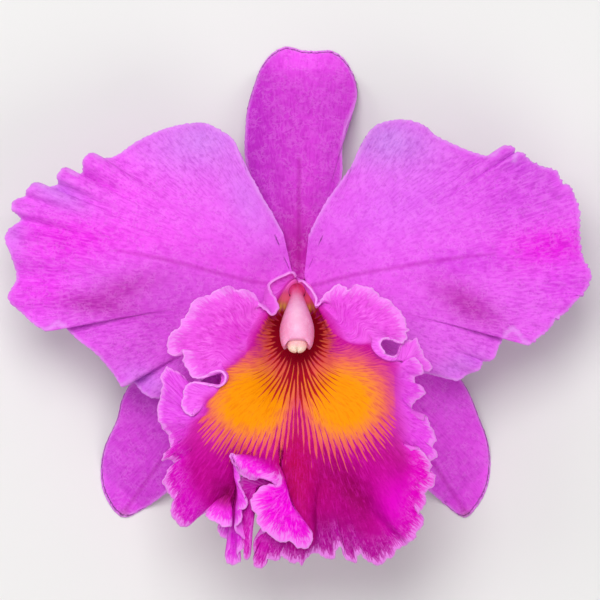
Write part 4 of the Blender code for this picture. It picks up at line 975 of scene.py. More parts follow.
        (30.4, -63.9, 46.0, 21.2, -53.6, 49.4), (31.7, -63.3, 45.0, 21.8, -53.0, 50.4),
        (32.0, -61.7, 45.8, 22.6, -51.8, 50.8), (33.4, -60.1, 45.2, 23.4, -50.2, 51.0),
        (34.2, -58.0, 44.8, 23.8, -48.4, 51.0), (32.8, -56.3, 46.2), (34.1, -54.4, 45.6), (34.8, -52.4, 45.2),
        (34.3, -51.0, 46.0), (34.9, -50.1, 46.4), (36.4, -49.2, 45.6), (37.2, -47.0, 45.0),
        (36.9, -45.6, 45.4), (35.6, -44.9, 46.4), (36.2, -43.4, 47.2), (35.6, -41.9, 48.0),
        (34.4, -40.4, 49.0), (32.8, -38.7, 49.8), (31.0, -39.2, 50.0),
    )),
    ("right frills", 326, 342, ((25.5, -34.2, 50.2), (25.2, -17.6, 50.2)), (
        (31.8, -40.2, 47.6), (34.4, -41.6, 45.6), (36.2, -42.0, 44.8), (37.5, -41.0, 44.4),
        (37.7, -39.6, 44.5), (36.4, -38.4, 45.2), (36.4, -37.6, 45.6), (37.5, -36.8, 45.0),
        (37.1, -35.4, 45.4), (36.7, -33.7, 45.0), (35.6, -32.3, 46.0), (35.1, -30.2, 46.0),
        (34.4, -29.8, 46.6), (33.8, -31.2, 47.6), (32.8, -30.2, 47.4), (31.6, -28.9, 46.8),
        (30.6, -28.2, 46.4), (30.9, -27.0, 46.6), (31.8, -25.8, 46.0), (33.4, -24.7, 45.4),
        (34.6, -23.4, 45.0), (33.6, -22.0, 45.6), (31.7, -20.8, 46.6), (31.4, -19.6, 47.2),
        (32.3, -18.8, 47.4, 25.4, -16.8, 50.4),
    )),
    ("right outer frill", 342, 351, None, (
        (33.6, -18.5, 48.0, 26.0, -16.4, 50.6), (33.8, -16.8, 48.6, 26.3, -15.8, 50.9),
        (32.8, -15.0, 49.0, 26.4, -15.3, 51.1), (31.6, -14.1, 49.4, 26.4, -15.0, 51.2),
        (32.6, -14.4, 47.6, 26.8, -15.0, 50.6), (34.2, -16.4, 46.6, 27.2, -15.2, 50.2),
        (35.0, -17.8, 46.0, 27.6, -15.4, 49.9), (36.2, -17.3, 45.6, 27.9, -15.3, 49.8),
        (35.9, -15.6, 46.0, 28.0, -15.0, 49.8), (34.3, -14.0, 46.5, 28.0, -14.6, 49.9),
        (33.6, -12.2, 46.6, 27.9, -14.4, 50.0), (32.6, -10.0, 47.0, 27.7, -14.2, 50.1),
        (32.0, -8.7, 46.6, 27.5, -14.1, 50.0), (30.8, -9.2, 46.8, 27.2, -14.1, 50.0),
    )),
    ("right pleat", 351, 357, None, (
        (29.0, -9.5, 47.2, 26.6, -14.2, 50.4), (27.8, -10.6, 48.6, 25.8, -14.6, 50.9),
        (27.2, -12.9, 50.2, 24.8, -14.9, 51.4), (25.6, -13.7, 51.6, 22.4, -14.2, 51.8),
        (23.8, -12.8, 52.2, 20.0, -12.4, 52.0), (22.5, -10.8, 52.6, 18.8, -10.4, 52.0),
        (22.7, -9.3, 52.4, 19.0, -9.0, 51.8), (24.2, -8.8, 51.6, 20.0, -8.4, 51.4),
        (26.2, -9.4, 51.0, 21.4, -8.0, 51.0), (28.1, -10.1, 50.4, 22.4, -7.4, 50.6),
    )),
    ("right ear", 358, 388, None, (
        (29.4, -8.8, 49.2), (29.3, -7.2, 48.0), (30.1, -6.5, 47.0), (29.3, -5.8, 47.0), (29.3, -4.6, 47.0),
        (28.4, -2.6, 47.6), (27.4, -1.0, 46.6), (26.0, 0.0, 46.0), (25.3, 1.2, 47.0), (23.4, 2.1, 47.2),
        (22.0, 2.7, 46.0), (21.2, 3.9, 46.2), (19.6, 5.0, 47.2), (17.5, 5.4, 47.0), (15.8, 5.9, 46.0),
        (14.6, 5.1, 45.6), (13.4, 4.4, 46.8), (12.6, 5.3, 46.0), (11.2, 5.9, 45.4), (9.6, 5.4, 46.2),
        (8.7, 4.3, 46.6), (7.4, 3.6, 46.0), (6.4, 2.3, 45.4), (5.6, 0.6, 45.6),
    )),
    ("right flap", 391, 447, None, (
        (4.8, 0.2, 45.4, 4.8, -0.6, 43.8), (5.0, 1.6, 44.8, 4.4, 0.6, 42.6), (4.6, 3.0, 44.0, 3.7, 2.0, 41.4),
        (3.8, 4.3, 43.0, 3.0, 3.4, 40.2), (2.8, 5.4, 42.0, 2.3, 4.7, 39.0), (1.8, 6.4, 41.0, 1.6, 5.9, 37.8),
        (0.8, 6.9, 39.8, 0.8, 6.8, 36.8), (0.0, 6.6, 38.6, -0.2, 7.1, 35.9),
    )),
)
print(len(LIP_MARGIN), "runs with", sum(len(run) for *_, run in LIP_MARGIN), "points")

# %% [markdown]
# ## Lip: from the throat to the margin
#
# Inside its margin the lip is a smooth sheet. A simulated cloth would fold softly, but its frills
# would fall where they like. Here the sheet passes through five rings on its way out: round the
# column's foot, halfway up the tube, the mouth, the smooth start of the apron and the bend. A
# curve through these and the margin gives each column its path. The folds start at the margin and
# are smoothed out towards the mouth, as they are in a real lip.

# %% Lip: rings inside the margin
LIP_THICK = 0.7
LIP_ROOT = 27.2
# The rings: round the column's foot, halfway up the tube, the mouth and the start of the apron
FOOT_CENTRE = (-0.4, 3.9)
FOOT_RADIUS = 2.65
TUBE_CENTRE = (-0.3, 3.4)
TUBE_RADII = (4.2, 3.4, 6.4)
TUBE_HEIGHT = 32.4
TUBE_BACK_RISE = 1.6
TUBE_FRONT_DROP = 2.6
MOUTH_CENTRE = (-0.8, -9.0)
MOUTH_RADII = (10.3, 9.0)
MOUTH_TOP = 16.6
MOUTH_PINCH = 0.56
MOUTH_HEIGHT = 46.0
MOUTH_BACK_DROP = 10.8
MOUTH_FRONT_DROP = 6.5
APRON_WIDTH = 6.5
APRON_LENGTH = 12.0
APRON_RISE = 1.8
APRON_FRONT_RISE = 7.5
# Where the sheet bends between mouth and margin, if a run has no path of its own
SHAPE_REACH = 7.0
BEND_SHARE = 0.62
BEND_RISE = 0.09
# Row places of the four rings, the bend and the margin
RING_PLACES = (0.0, 0.12, 0.27, 0.42, 0.72, 1.0)
print("the mouth is", 2 * MOUTH_RADII[0], "mm wide")


def foot_ring(angle):
    turn = np.radians(angle)
    return np.stack([FOOT_CENTRE[0] + FOOT_RADIUS * np.cos(turn), FOOT_CENTRE[1] + FOOT_RADIUS * np.sin(turn),
                     np.full_like(turn, LIP_ROOT)], axis=1)


def tube_ring(angle):
    turn = np.radians(angle)
    side, above, below = TUBE_RADII
    up = np.sin(turn)
    height = TUBE_HEIGHT + TUBE_BACK_RISE * np.clip(up, 0, 1) - TUBE_FRONT_DROP * np.clip(-up, 0, 1)
    return np.stack([TUBE_CENTRE[0] + side * np.cos(turn),
                     TUBE_CENTRE[1] + up * np.where(up > 0, above, below), height], axis=1)


def mouth_ring(angle):
    turn = np.radians(angle)
    up = np.clip(np.sin(turn), 0.0, 1.0)
    down = np.clip(-np.sin(turn), 0.0, 1.0)
    return np.stack([MOUTH_CENTRE[0] + MOUTH_RADII[0] * np.cos(turn) * (1 - MOUTH_PINCH * up),
                     MOUTH_CENTRE[1] + MOUTH_TOP * up - MOUTH_RADII[1] * down,
                     MOUTH_HEIGHT - MOUTH_BACK_DROP * up**2 - MOUTH_FRONT_DROP * down**2], axis=1)


def apron_ring(angle, bends):
    """The ring just outside the mouth, where the sheet is still smooth whatever its margin does."""
    turn = np.radians(angle)
    up = np.clip(np.sin(turn), 0.0, 1.0)
    down = np.clip(-np.sin(turn), 0.0, 1.0)
    mouth = mouth_ring(angle)
    wide = np.stack([mouth[:, 0] + APRON_WIDTH * np.cos(turn) * (1 - up), mouth[:, 1] - APRON_LENGTH * down,
                     mouth[:, 2] + APRON_RISE * (1 - down) + APRON_FRONT_RISE * down], axis=1)
    share = ease(up / 0.5)[:, None]
    return wide * (1 - share) + (mouth + 0.4 * (bends - mouth)) * share


# %% [markdown]
# ## Lip: colours
#
# Three things make a cattleya's lip: a dark throat whose stripes run out like rays, two orange
# windows beside the middle line, and a crimson to purple front with a pale frilled rim. The broad
# grounds are painted in patches as on the petals. The rays, the frayed border of the orange and the
# rim are masks with a distance in them, and the material turns each into strokes along the veins.
# In the middle these veins are a fan that leaves the throat nearly straight and bends apart, and
# near the margin they run out to the frills. Each run of the margin also has flesh of its own: a
# colour, where it takes over from the ground on the way out, and how wide its pale rim is.

# %% Lip: flesh and patches
EAR = srgb(232, 84, 222)
FRILL = srgb(236, 92, 232)
PURPLE = srgb(190, 2, 142)
CRIMSON = srgb(184, 2, 80)
BRIGHT = srgb(232, 2, 204)
THROAT_RED = srgb(150, 14, 44)
# A run's own colour, from which row place to which it takes over, and how wide its pale rim is
RUN_FLESH = {
    "left flap": (srgb(240, 106, 222), 0.40, 0.55, 0.8),
    "left ear": (EAR, 0.42, 0.60, 3.2),
    "left pleat": (FRILL, 0.60, 0.80, 0.9),
    "left inner frill": (FRILL, 0.72, 0.88, 1.2),
    "left outer frill": (srgb(226, 78, 226), 0.66, 0.84, 1.6),
    "left lobe": (srgb(214, 10, 190), 0.80, 0.92, 2.4),
    "left front frill": (srgb(240, 40, 222), 0.80, 0.92, 2.0),
    "left lower lobe": (srgb(216, 30, 206), 0.76, 0.90, 2.6),
    "left side of the fold": (srgb(232, 60, 224), 0.70, 0.85, 1.6),
    "folded flap": (srgb(240, 3, 216), 0.60, 0.75, 3.4),
    "under the flap": (srgb(206, 20, 176), 0.70, 0.85, 1.6),
    # The lower frills' flesh is darker, partly as painted shade where they turn down away from the lamp
    "lower frills": (srgb(176, 8, 146), 0.82, 0.94, 2.4),
    "right lobe": (srgb(232, 2, 198), 0.78, 0.90, 2.6),
    "right frills": (srgb(232, 70, 228), 0.74, 0.88, 2.4),
    "right outer frill": (FRILL, 0.66, 0.80, 1.8),
    "right pleat": (srgb(240, 100, 234), 0.55, 0.70, 1.0),
    "right ear": (EAR, 0.42, 0.60, 3.0),
    "right flap": (srgb(238, 112, 216), 0.40, 0.55, 0.8),
}
EARS = ("left flap", "left ear", "right ear", "right flap")
LIP_PATCHES = (
    (CRIMSON, -0.5, -42, 7, 18, 0, 0.95),
    # Painted shade: two darker bands along the valley below the right lobe's fold ridge
    (srgb(166, 1, 92), 9, -46, 6, 9, 0, 0.7),
    (srgb(140, 1, 76), 16, -51, 4.5, 10, 35, 0.85),
    (BRIGHT, 28, -54, 6, 8, 0, 0.95),
    (srgb(178, 1, 122), 25, -40, 10, 5, 0, 0.7),
    (srgb(214, 5, 190), -31, -53, 5, 8, 0, 0.9),
    (srgb(180, 2, 128), -26, -46, 6, 5, 0, 0.8),
    # Painted shade: the left lobe's valley, and the front frills that turn down away from the lamp
    (srgb(120, 1, 64), -19, -51, 4, 3.5, 0, 0.85),
    (srgb(154, 4, 108), 9, -60, 9, 5, 0, 0.8),
    (srgb(225, 84, 225), -34, -26, 5, 9, 0, 0.9),
    (srgb(214, 50, 160), -21, -34, 6, 4, 0, 0.6),
    (srgb(238, 100, 235), 33, -25, 7, 11, 0, 0.9),
)
EAR_PATCHES = (
    (srgb(216, 46, 198), -18, -7, 7, 6, 20, 0.8),
    (srgb(222, 60, 212), 13, -3, 6, 5, -30, 0.8),
    (srgb(238, 96, 224), -11, -3, 3.5, 3.5, 0, 0.7),
    (srgb(226, 62, 214), 22, -14, 5, 4, 0, 0.5),
)
ORANGE_PATCHES = (
    (-12.5, -26.0, 15.0, 13.5, 0), (12.0, -26.0, 14.0, 13.5, 0), (-0.5, -25.0, 9.0, 13.0, 0),
    (-7.4, -9.5, 3.4, 6.4, 4), (6.2, -9.5, 3.2, 6.4, -4), (-0.6, -9.0, 8.4, 8.0, 0),
)
# The lining's colours; deep in the throat they are also emitted as painted light
THROAT_PATCHES = (
    (srgb(232, 110, 210), -3.0, 6.0, 3.2, 3.2, 0, 1.0),
    (srgb(232, 108, 140), -4.0, 2.2, 2.2, 1.6, 0, 0.9),
    (srgb(206, 168, 66), -4.8, -0.2, 1.4, 1.0, 0, 0.9),
    (srgb(236, 100, 196), 1.8, 5.4, 2.4, 2.4, 0, 1.0),
    (srgb(226, 84, 128), 2.8, 1.8, 1.6, 1.6, 0, 0.9),
    (srgb(206, 160, 60), 3.4, -0.8, 1.2, 1.0, 0, 0.9),
)
print(len(RUN_FLESH), "runs with flesh of their own")


# %% Lip: masks
FAN_CENTRE = (-0.4, -7.0)
RAY_CENTRE = (-0.4, -7.6)
RAY_START = 6.4
THROAT_CENTRE = (-0.4, -8.5)
LIP_MIDDLE = -0.3
# Well outside the orange
NO_ORANGE = -30.0
# Between the two windows lies a crimson wedge: the y of its tip and the slope of its sides
WEDGE_TIP = -26.0
WEDGE_SLOPE = 0.36
# Below this y the border of the orange frays
FRAY_START = -27


def orange_depth(x, y):
    """How many millimetres a place lies inside the orange, less than nothing where it lies outside."""
    depth = np.full(len(x), NO_ORANGE)
    for px, py, long, short, turn in ORANGE_PATCHES:
        c, s = math.cos(math.radians(turn)), math.sin(math.radians(turn))
        away = np.hypot(((x - px) * c + (y - py) * s) / long, ((y - py) * c - (x - px) * s) / short)
        depth = np.maximum(depth, (1 - away) * min(long, short))
    wedge = WEDGE_SLOPE * (WEDGE_TIP - y) - np.abs(x - LIP_MIDDLE)
    return np.minimum(depth, -1.6 * wedge)


def ragged_share(x, y):
    """How much the border of the orange frays: all of it in front, and some along the middle line."""
    middle = 0.7 * np.exp(-((x - LIP_MIDDLE) / 7) ** 2) * ease((-14 - y) / 6)
    return np.maximum(ease((FRAY_START - y) / 7), middle)


def border_blur(x, y):
    """How soft the border of the orange is, in millimetres: softer at the sides than in front."""
    return 1.2 + 2.4 * ease((np.abs(x) - 8) / 6) * (1 - ease((FRAY_START - y) / 7))


def fan_lines(x, y):
    """The line of the fan through each point, as a share of a turn, and how long a whole turn is there."""
    aside, down = x - FAN_CENTRE[0], FAN_CENTRE[1] - y
    far = np.hypot(aside, down)
    bend = 0.6 + 0.4 * ease((far - 6) / 22)
    return np.arctan2(aside, down) / (2 * math.pi * bend) + 0.5, 2 * math.pi * far * bend


def throat_cover(x, y):
    """The share of the throat that its dark rays cover: all of it deep inside, none far out."""
    dx, dy = (x - RAY_CENTRE[0]) / 0.94, y - RAY_CENTRE[1]
    away = np.hypot(dx, dy)
    aside = np.degrees(np.arctan2(dx, -dy))
    ends = 9.4 + 4.5 * np.exp(-((aside / 55) ** 2))
    rays = np.clip((ends - away) / (ends - RAY_START), 0.0, 1.0)
    lines = 0.66 * np.exp(-((aside / 36) ** 2)) * ease((28 - away) / 20)
    lines += 0.14 * np.exp(-((aside / 60) ** 2)) * ease((22 - away) / 8)
    return np.clip(np.maximum(rays, lines), 0.0, 1.0) * ease((0.6 - y) / 1.6)


# %% Lip: rows
# Over how many millimetres the folds are smoothed out near the mouth
FOLD_REACH = 8.0
# Depth and distance of the small scallops in the margin
SCALLOP = 0.16
SCALLOP_WAVE = 2.3


def lip_columns():
    """The margin's points with what belongs to each: angle at the mouth, bend and flesh."""
    margin, angles, bends, flesh = [], [], [], []
    for name, first, last, path, run in LIP_MARGIN:
        for i, point in enumerate(run):
            share = i / (len(run) - 1)
            margin.append(point[:3])
            angles.append(first + (last - first) * share)
            bend = (np.nan,) * 3
            if path:
                bend = [np.interp(share, np.linspace(0.0, 1.0, len(path)), side) for side in zip(*path)]
            bends.append(point[3:] or bend)
            colour, start, full, rim = RUN_FLESH[name]
            flesh.append((*colour, start, full, rim, float(name in EARS)))
    return np.array(margin), np.array(angles), np.array(bends), np.array(flesh)


def lip_rows(columns, levels):
    """Rows of the lip from its foot up the tube, out of the mouth and on to the frilled margin."""
    margin, angles, bends, flesh = lip_columns()
    knots = knots_of(margin)
    mouth = mouth_ring(angles)
    shape = softened(margin, SHAPE_REACH)
    plain = mouth + (shape - mouth) * BEND_SHARE
    plain[:, 2] += BEND_RISE * np.linalg.norm(shape[:, :2] - mouth[:, :2], axis=1)
    free = np.isnan(bends[:, 0])
    bends[free] = plain[free]
    at = even_places(margin, knots, columns)
    even = np.linspace(angles[0], angles[-1], columns + 1)
    at_angle = averaged(0.9 * np.interp(at, knots, angles) + 0.1 * even, columns // 60)
    bend = spline(bends, knots, at)
    edge = spline(margin, knots, at)
    rings = np.stack([foot_ring(at_angle), tube_ring(at_angle), mouth_ring(at_angle),
                      apron_ring(at_angle, bend), bend, edge])
    ahead = np.gradient(edge, axis=0)
    away = edge - bend
    away -= ahead * ((away * ahead).sum(axis=1) / (ahead * ahead).sum(axis=1))[:, None]
    away /= np.linalg.norm(away, axis=1)[:, None]
    teeth = away * (SCALLOP * ripple(lengths_of(edge), SCALLOP_WAVE, 11))[:, None]
    rows = []
    for v, halvings in levels:
        row = spline(rings, np.array(RING_PLACES), np.array([v]))[0]
        fold = FOLD_REACH * ease((v - 0.27) / 0.16) * (1 - ease((v - 0.5) / 0.4))
        if fold > 0.2:
            row = softened(row, fold)
        row = row + teeth * ease((v - 0.84) / 0.16)
        rows.append(row[:: 2**halvings])
    own = np.stack([averaged(np.interp(at, knots, kind), columns // 90) for kind in flesh.T], axis=1)
    return rows, own


# %% Lip: steps of its paint
def paint_lip_ground(tree, hairs, skin, outer):
    """The painted ground with darker and lighter hairs along its veins."""
    ground = mask(tree, "tint", "Color")
    dark = times(tree, between(tree, hairs, 0.55, 0.05), maths(tree, "MULTIPLY_ADD", outer, 0.16, 0.34))
    colour = blend(tree, dark, ground, deeper(tree, ground, 0.68, 0.25, 0.62))
    light = maths(tree, "MAXIMUM", times(tree, between(tree, hairs, 0.6, 1.0), 0.3),
                  times(tree, skin.outputs["Net"], 0.14))
    return blend(tree, light, colour, blend(tree, outer, srgb(226, 30, 190), srgb(250, 140, 244)))


def paint_windows(tree, colour, fanned, hair_shift, stripes):
    """The two orange windows: golden in the middle, salmon outside, and frayed where they are ragged."""
    fray = times(tree, times(tree, maths(tree, "SUBTRACT", stripes, 0.5), 9.0), mask(tree, "ragged"))
    depth = maths(tree, "ADD", maths(tree, "ADD", mask(tree, "orange"), times(tree, hair_shift, 2.6)), fray)
    half = mask(tree, "blur")
    cover = maths(tree, "DIVIDE", maths(tree, "ADD", depth, half), times(tree, half, 2.0))
    warm = between(tree, maths(tree, "ADD", mask(tree, "orange"), times(tree, hair_shift, 3.0)), 0.5, 8.0)
    glow = blend(tree, warm, srgb(228, 92, 92), srgb(246, 146, 2))
    dark = times(tree, between(tree, fanned, 0.5, 0.1), 0.5)
    glow = blend(tree, dark, glow, deeper(tree, glow, 0.84, 0.6, 0.6))
    return blend(tree, between(tree, cover, 0.0, 1.0), colour, glow)


def paint_throat(tree, colour, hair_shift, stripes):
    """Dark rays out of the throat, which stand closer the deeper they are."""
    throat = mask(tree, "throat")
    edge = maths(tree, "ADD", times(tree, throat, 1.24), times(tree, hair_shift, 0.2))
    rays = between(tree, maths(tree, "SUBTRACT", maths(tree, "SUBTRACT", edge, 0.12), stripes), -0.12, 0.12)
    maroon = blend(tree, between(tree, throat, 0.2, 0.8), srgb(190, 34, 40), srgb(158, 10, 40))
    return blend(tree, rays, colour, maroon)


def paint_lip_rim(tree, colour, hairs):
    """A pale rim with a comb of streaks on its inner side, and paler still at the very edge."""
    inward = mask(tree, "inward")
    share = maths(tree, "DIVIDE", inward, mask(tree, "rim"))
    share = maths(tree, "ADD", share, times(tree, maths(tree, "SUBTRACT", hairs, 0.5), 1.1))
    colour = blend(tree, times(tree, between(tree, share, 1.15, 0.2), 0.75), colour, RIM_PINK)
    return blend(tree, times(tree, between(tree, inward, 0.6, 0.1), 0.3), colour, srgb(252, 196, 250))


# %% Lip: its material
LINING_PAINTED_GLOW = 0.45


def lip_material():
    """The paint steps in turn. The lining deep in the throat glows a little: painted light, standing in for
    light through the thin tissue.
    """
    material, tree, shader = new_flesh("lip flesh", 0.5, 0.04)
    uv = tree.nodes.new("ShaderNodeUVMap")
    uv.uv_map = "UVMap"
    split = tree.nodes.new("ShaderNodeSeparateXYZ")
    feed(tree, split.inputs[0], uv.outputs[0])
    reach, outer = mask(tree, "reach"), mask(tree, "outer")
    skin = use_group(tree, SKIN, Size=0.7)
    own = use_group(tree, FORKS, Across=split.outputs[0], Spread=mask(tree, "spread"), Gap=0.62,
                    Along=times(tree, reach, 0.4))
    lines, apart = mask(tree, "lines"), mask(tree, "apart")
    fine = use_group(tree, FORKS, Across=lines, Spread=apart, Gap=0.5, Along=times(tree, reach, 0.3))
    bold = use_group(tree, FORKS, Across=lines, Spread=apart, Gap=1.25, Along=times(tree, reach, 0.14),
                     Sway=0.6)
    fanned, stripes = fine.outputs["Hairs"], bold.outputs["Stripes"]
    change = times(tree, maths(tree, "SUBTRACT", own.outputs["Hairs"], fanned), outer)
    hairs = maths(tree, "ADD", fanned, change)
    hair_shift = maths(tree, "SUBTRACT", fanned, 0.5)

    colour = paint_lip_ground(tree, hairs, skin, outer)
    colour = paint_windows(tree, colour, fanned, hair_shift, stripes)
    colour = paint_throat(tree, colour, hair_shift, stripes)
    deep, lining = mask(tree, "deep"), mask(tree, "lining", "Color")
    colour = blend(tree, deep, colour, lining)
    colour = paint_lip_rim(tree, colour, own.outputs["Hairs"])
    back = blend(tree, 0.6, colour, srgb(226, 96, 218))
    colour = blend(tree, mask(tree, "upper"), back, colour)
    feed(tree, shader.inputs["Base Color"], colour)
    # Painted light: the lining deep in the throat glows with its own colour
    feed(tree, shader.inputs["Emission Color"], blend(tree, deep, np.zeros(3), lining))
    shader.inputs["Emission Strength"].default_value = LINING_PAINTED_GLOW
    add_bump(tree, shader, hairs, 0.3, 0.15)
    return material


LIP_MATERIAL = lip_material()
print("material", LIP_MATERIAL.name)


# %% Lip: make it
LIP_COLUMNS = 1280
# From which row place to which, in how many rows, and how often the columns are halved there
LIP_STEPS = (
    (0.0, 0.34, 16, 2), (0.34, 0.6, 12, 1), (0.6, 0.985, 22, 0), (0.985, 0.997, 2, 0), (1.0, 1.0, 1, 0),
)


def make_lip():
    """The sheet with its masks: own says, column by column, what belongs to the run it ends in."""
    levels = []
    for low, high, count, halvings in LIP_STEPS:
        levels += [(v, halvings) for v in np.linspace(low, high, count, endpoint=high == 1.0)]
    rows, own = lip_rows(LIP_COLUMNS, levels)
    places = np.array([v for v, _ in levels])
    made, spots, v = closed_sheet("frilled_lip", rows, rim_thickness(LIP_THICK), places)
    x, y = spots[:, 0], spots[:, 1]
    inward = np.concatenate([np.linalg.norm(row - rows[-1][:: 2**h], axis=1)
                             for row, (_, h) in zip(rows, levels)])
    own = np.tile(np.concatenate([own[:: 2**h] for _, h in levels]), (2, 1))
    flesh, (start, full, rim, ear) = own[:, :3], own[:, 3:].T
    sooner = 0.15 * ease((y + 16) / 6) * ear
    share = ease((v + sooner - start) / (full - start))
    ground = paint(PURPLE, x, y, LIP_PATCHES)
    outer = flesh + (paint(EAR, x, y, EAR_PATCHES) - flesh) * ear[:, None]
    add_tint(made, "tint", ground + (outer - ground) * share[:, None])
    add_tint(made, "lining", paint(THROAT_RED, x, y, THROAT_PATCHES))
    add_mask(made, "deep", ease((0.3 - v) / 0.05) * ease((y + 1.6) / 1.4))
    add_mask(made, "spread", spread_of(rows))
    add_mask(made, "inward", np.tile(inward, 2))
    add_mask(made, "rim", rim)
    add_mask(made, "orange", orange_depth(x, y) - 12 * ease((v - 0.72) / 0.12) - 14 * share)
    add_mask(made, "ragged", ragged_share(x, y))
    add_mask(made, "blur", border_blur(x, y))
    add_mask(made, "throat", throat_cover(x, y))
    add_mask(made, "outer", share)
    for name, values in zip(("lines", "apart"), fan_lines(x, y)):
        add_mask(made, name, values)
    add_mask(made, "reach", np.hypot(x - THROAT_CENTRE[0], y - THROAT_CENTRE[1]))
    finish_piece(made, "lip", "lip_magenta", LIP_MATERIAL)


make_lip()

# %% [markdown]
# ## Column and cap
#
# In the mouth stands the column, the fused stamen and style: a blunt club with two short horns that
# hold the cream anther cap between them. Both could be sculpted from spheres. They are smooth, waxy
# bodies with a spine in the middle plane though, so rings of points along that spine make them, and
# the horns and the cleft are single terms in the rings.

# %% Column and cap: sizes
COLUMN_FOOT = 24.4
# Spine of the column: y, z and its half width. Two horns at its end hold the cap between them.
COLUMN_SPINE = (
    (4.0, COLUMN_FOOT, 1.3), (4.0, 26.4, 2.15), (3.9, 28.4, 2.15), (3.5, 31.0, 1.9), (2.9, 34.0, 1.75),
    (1.5, 38.0, 2.1), (-1.0, 42.2, 3.0), (-3.6, 45.2, 4.0), (-6.0, 46.9, 4.65), (-8.0, 47.9, 4.65),
    (-9.2, 48.4, 4.3), (-10.0, 48.7, 3.7),
)
COLUMN_MIDDLE = -0.4
COLUMN_HORN = 1.5
COLUMN_SEAT = 3.15
COLUMN_RINGS = 88
CAP_RADIUS = 2.75
CAP_HEIGHT = 2.68
CAP_GAP = 0.07
CAP_RINGS = 40
# How flat the column is on the side of the lip, and the cap and its seat from back to front
COLUMN_FLAT = 0.82
CAP_FLAT = 0.78
# Height of the cap's middle, as a share of the whole: it lies in the cleft
CAP_MIDDLE = 0.72
ROUND_SIDES = 96
print(len(COLUMN_SPINE), "rings drawn for the column")


# %% Column and cap: waxy flesh
def waxy_material(name, light):
    """Waxy tissue: its own tint, finely grained, with paler ridges."""
    material, tree, shader = new_flesh(name, 0.36, 0.3)
    shader.inputs["Subsurface Weight"].default_value = 0.25
    shader.inputs["Subsurface Radius"].default_value = (1.0, 0.4, 0.4)
    shader.inputs["Subsurface Scale"].default_value = 0.8 * MM
    skin = use_group(tree, SKIN, Size=0.45)
    tint = mask(tree, "tint", "Color")
    colour = blend(tree, times(tree, skin.outputs["Net"], 0.3), tint, light)
    colour = blend(tree, times(tree, skin.outputs["Clouds"], 0.3), colour, deeper(tree, tint, 0.9, 0.72, 0.8))
    feed(tree, shader.inputs["Base Color"], colour)
    add_bump(tree, shader, skin.outputs["Flecks"], 0.3, 0.08)
    return material


# %% Column and cap: rings along a spine
def close_rings(name, rings, foot, tip):
    """A closed body from rings of points, with a point in the middle of each end, and its points."""
    sides, count = len(rings[0]), len(rings)
    points = np.concatenate([*rings, [foot, tip]])
    side = np.arange(sides)
    after = (side + 1) % sides
    faces = []
    for start in range(0, (count - 1) * sides, sides):
        a, b = start + side, start + after
        faces += [np.stack([a, b, b + sides], 1), np.stack([a, b + sides, a + sides], 1)]
    last = (count - 1) * sides
    faces += [np.stack([np.full(sides, len(points) - 2), after, side], 1),
              np.stack([np.full(sides, len(points) - 1), last + side, last + after], 1)]
    faces = np.concatenate(faces)
    corners = points[faces]
    volume = (corners[:, 0] * np.cross(corners[:, 1], corners[:, 2])).sum()
    made = add_mesh(name, points, faces if volume > 0 else faces[:, ::-1])
    v = np.append(np.repeat(np.linspace(0.0, 1.0, count), sides), (0.0, 1.0))
    u = np.append(np.tile(side / sides, count), (0.5, 0.5))
    paint_uv(made, u, v)
    return made, points


def refined(spine, count):
    spine = np.array(spine)
    knots = knots_of(spine)
    return spline(spine, knots, np.linspace(knots[0], knots[-1], count))


def directions_of(spine):
    ahead = np.gradient(spine[:, :2], axis=0)
    return ahead / np.linalg.norm(ahead, axis=1)[:, None]


def round_angles():
    return np.linspace(0.0, 2 * math.pi, ROUND_SIDES + 1)[:-1]


# %% Column and cap: make them
# A deeper pink at the base, darker rosy sides that are partly painted shade, and a pale stripe down the
# middle that is a painted highlight
COLUMN_PATCHES = (
    (srgb(222, 60, 110), -0.4, 6.5, 5, 4, 0, 0.9),
    (srgb(230, 120, 160), -4.6, -5, 1.6, 5, 0, 0.7),
    (srgb(232, 126, 168), 3.8, -5, 1.6, 5, 0, 0.7),
    (srgb(252, 196, 226), -0.6, -3, 1.6, 5, 0, 0.7),
)
CAP_PATCHES = (
    (srgb(240, 168, 184), -0.4, -10.0, 4, 1.0, 0, 0.7),
    (srgb(252, 236, 214), -0.4, -12.0, 3, 1.0, 0, 0.8),
)


def make_column():
    """The column: rings along its spine, whose last ones reach forward at both sides as horns."""
    spine = refined(COLUMN_SPINE, COLUMN_RINGS)
    ahead = directions_of(spine)
    turn = round_angles()
    deep = np.where(np.sin(turn) < 0, 1.0, COLUMN_FLAT)
    rings = []
    for (y, z, radius), (dy, dz), place in zip(spine, ahead, np.linspace(0.0, 1.0, len(spine))):
        horn = COLUMN_HORN * ease((np.abs(np.cos(turn)) - 0.55) / 0.4) * ease((place - 0.84) / 0.16)
        rise = radius * deep * np.sin(turn)
        rings.append(np.stack([COLUMN_MIDDLE + radius * np.cos(turn), y - dz * rise + dy * horn,
                               z + dy * rise + dz * horn], axis=1))
    y, z, _ = spine[-1]
    dy, dz = ahead[-1]
    rise = CAP_FLAT * COLUMN_SEAT * np.sin(turn)
    rings.append(np.stack([COLUMN_MIDDLE + COLUMN_SEAT * np.cos(turn), y - dz * rise, z + dy * rise], axis=1))
    made, points = close_rings("bloom_column", rings, (COLUMN_MIDDLE, *spine[0, :2]),
                               (COLUMN_MIDDLE, *spine[-1, :2]))
    x, y = points[:, 0], points[:, 1]
    print("the column is", round(float(np.ptp(x)), 1), "mm wide")
    add_tint(made, "tint", paint(srgb(246, 158, 204), x, y, COLUMN_PATCHES))
    finish_piece(made, "column", "column_pink", waxy_material("column flesh", srgb(255, 214, 236)))


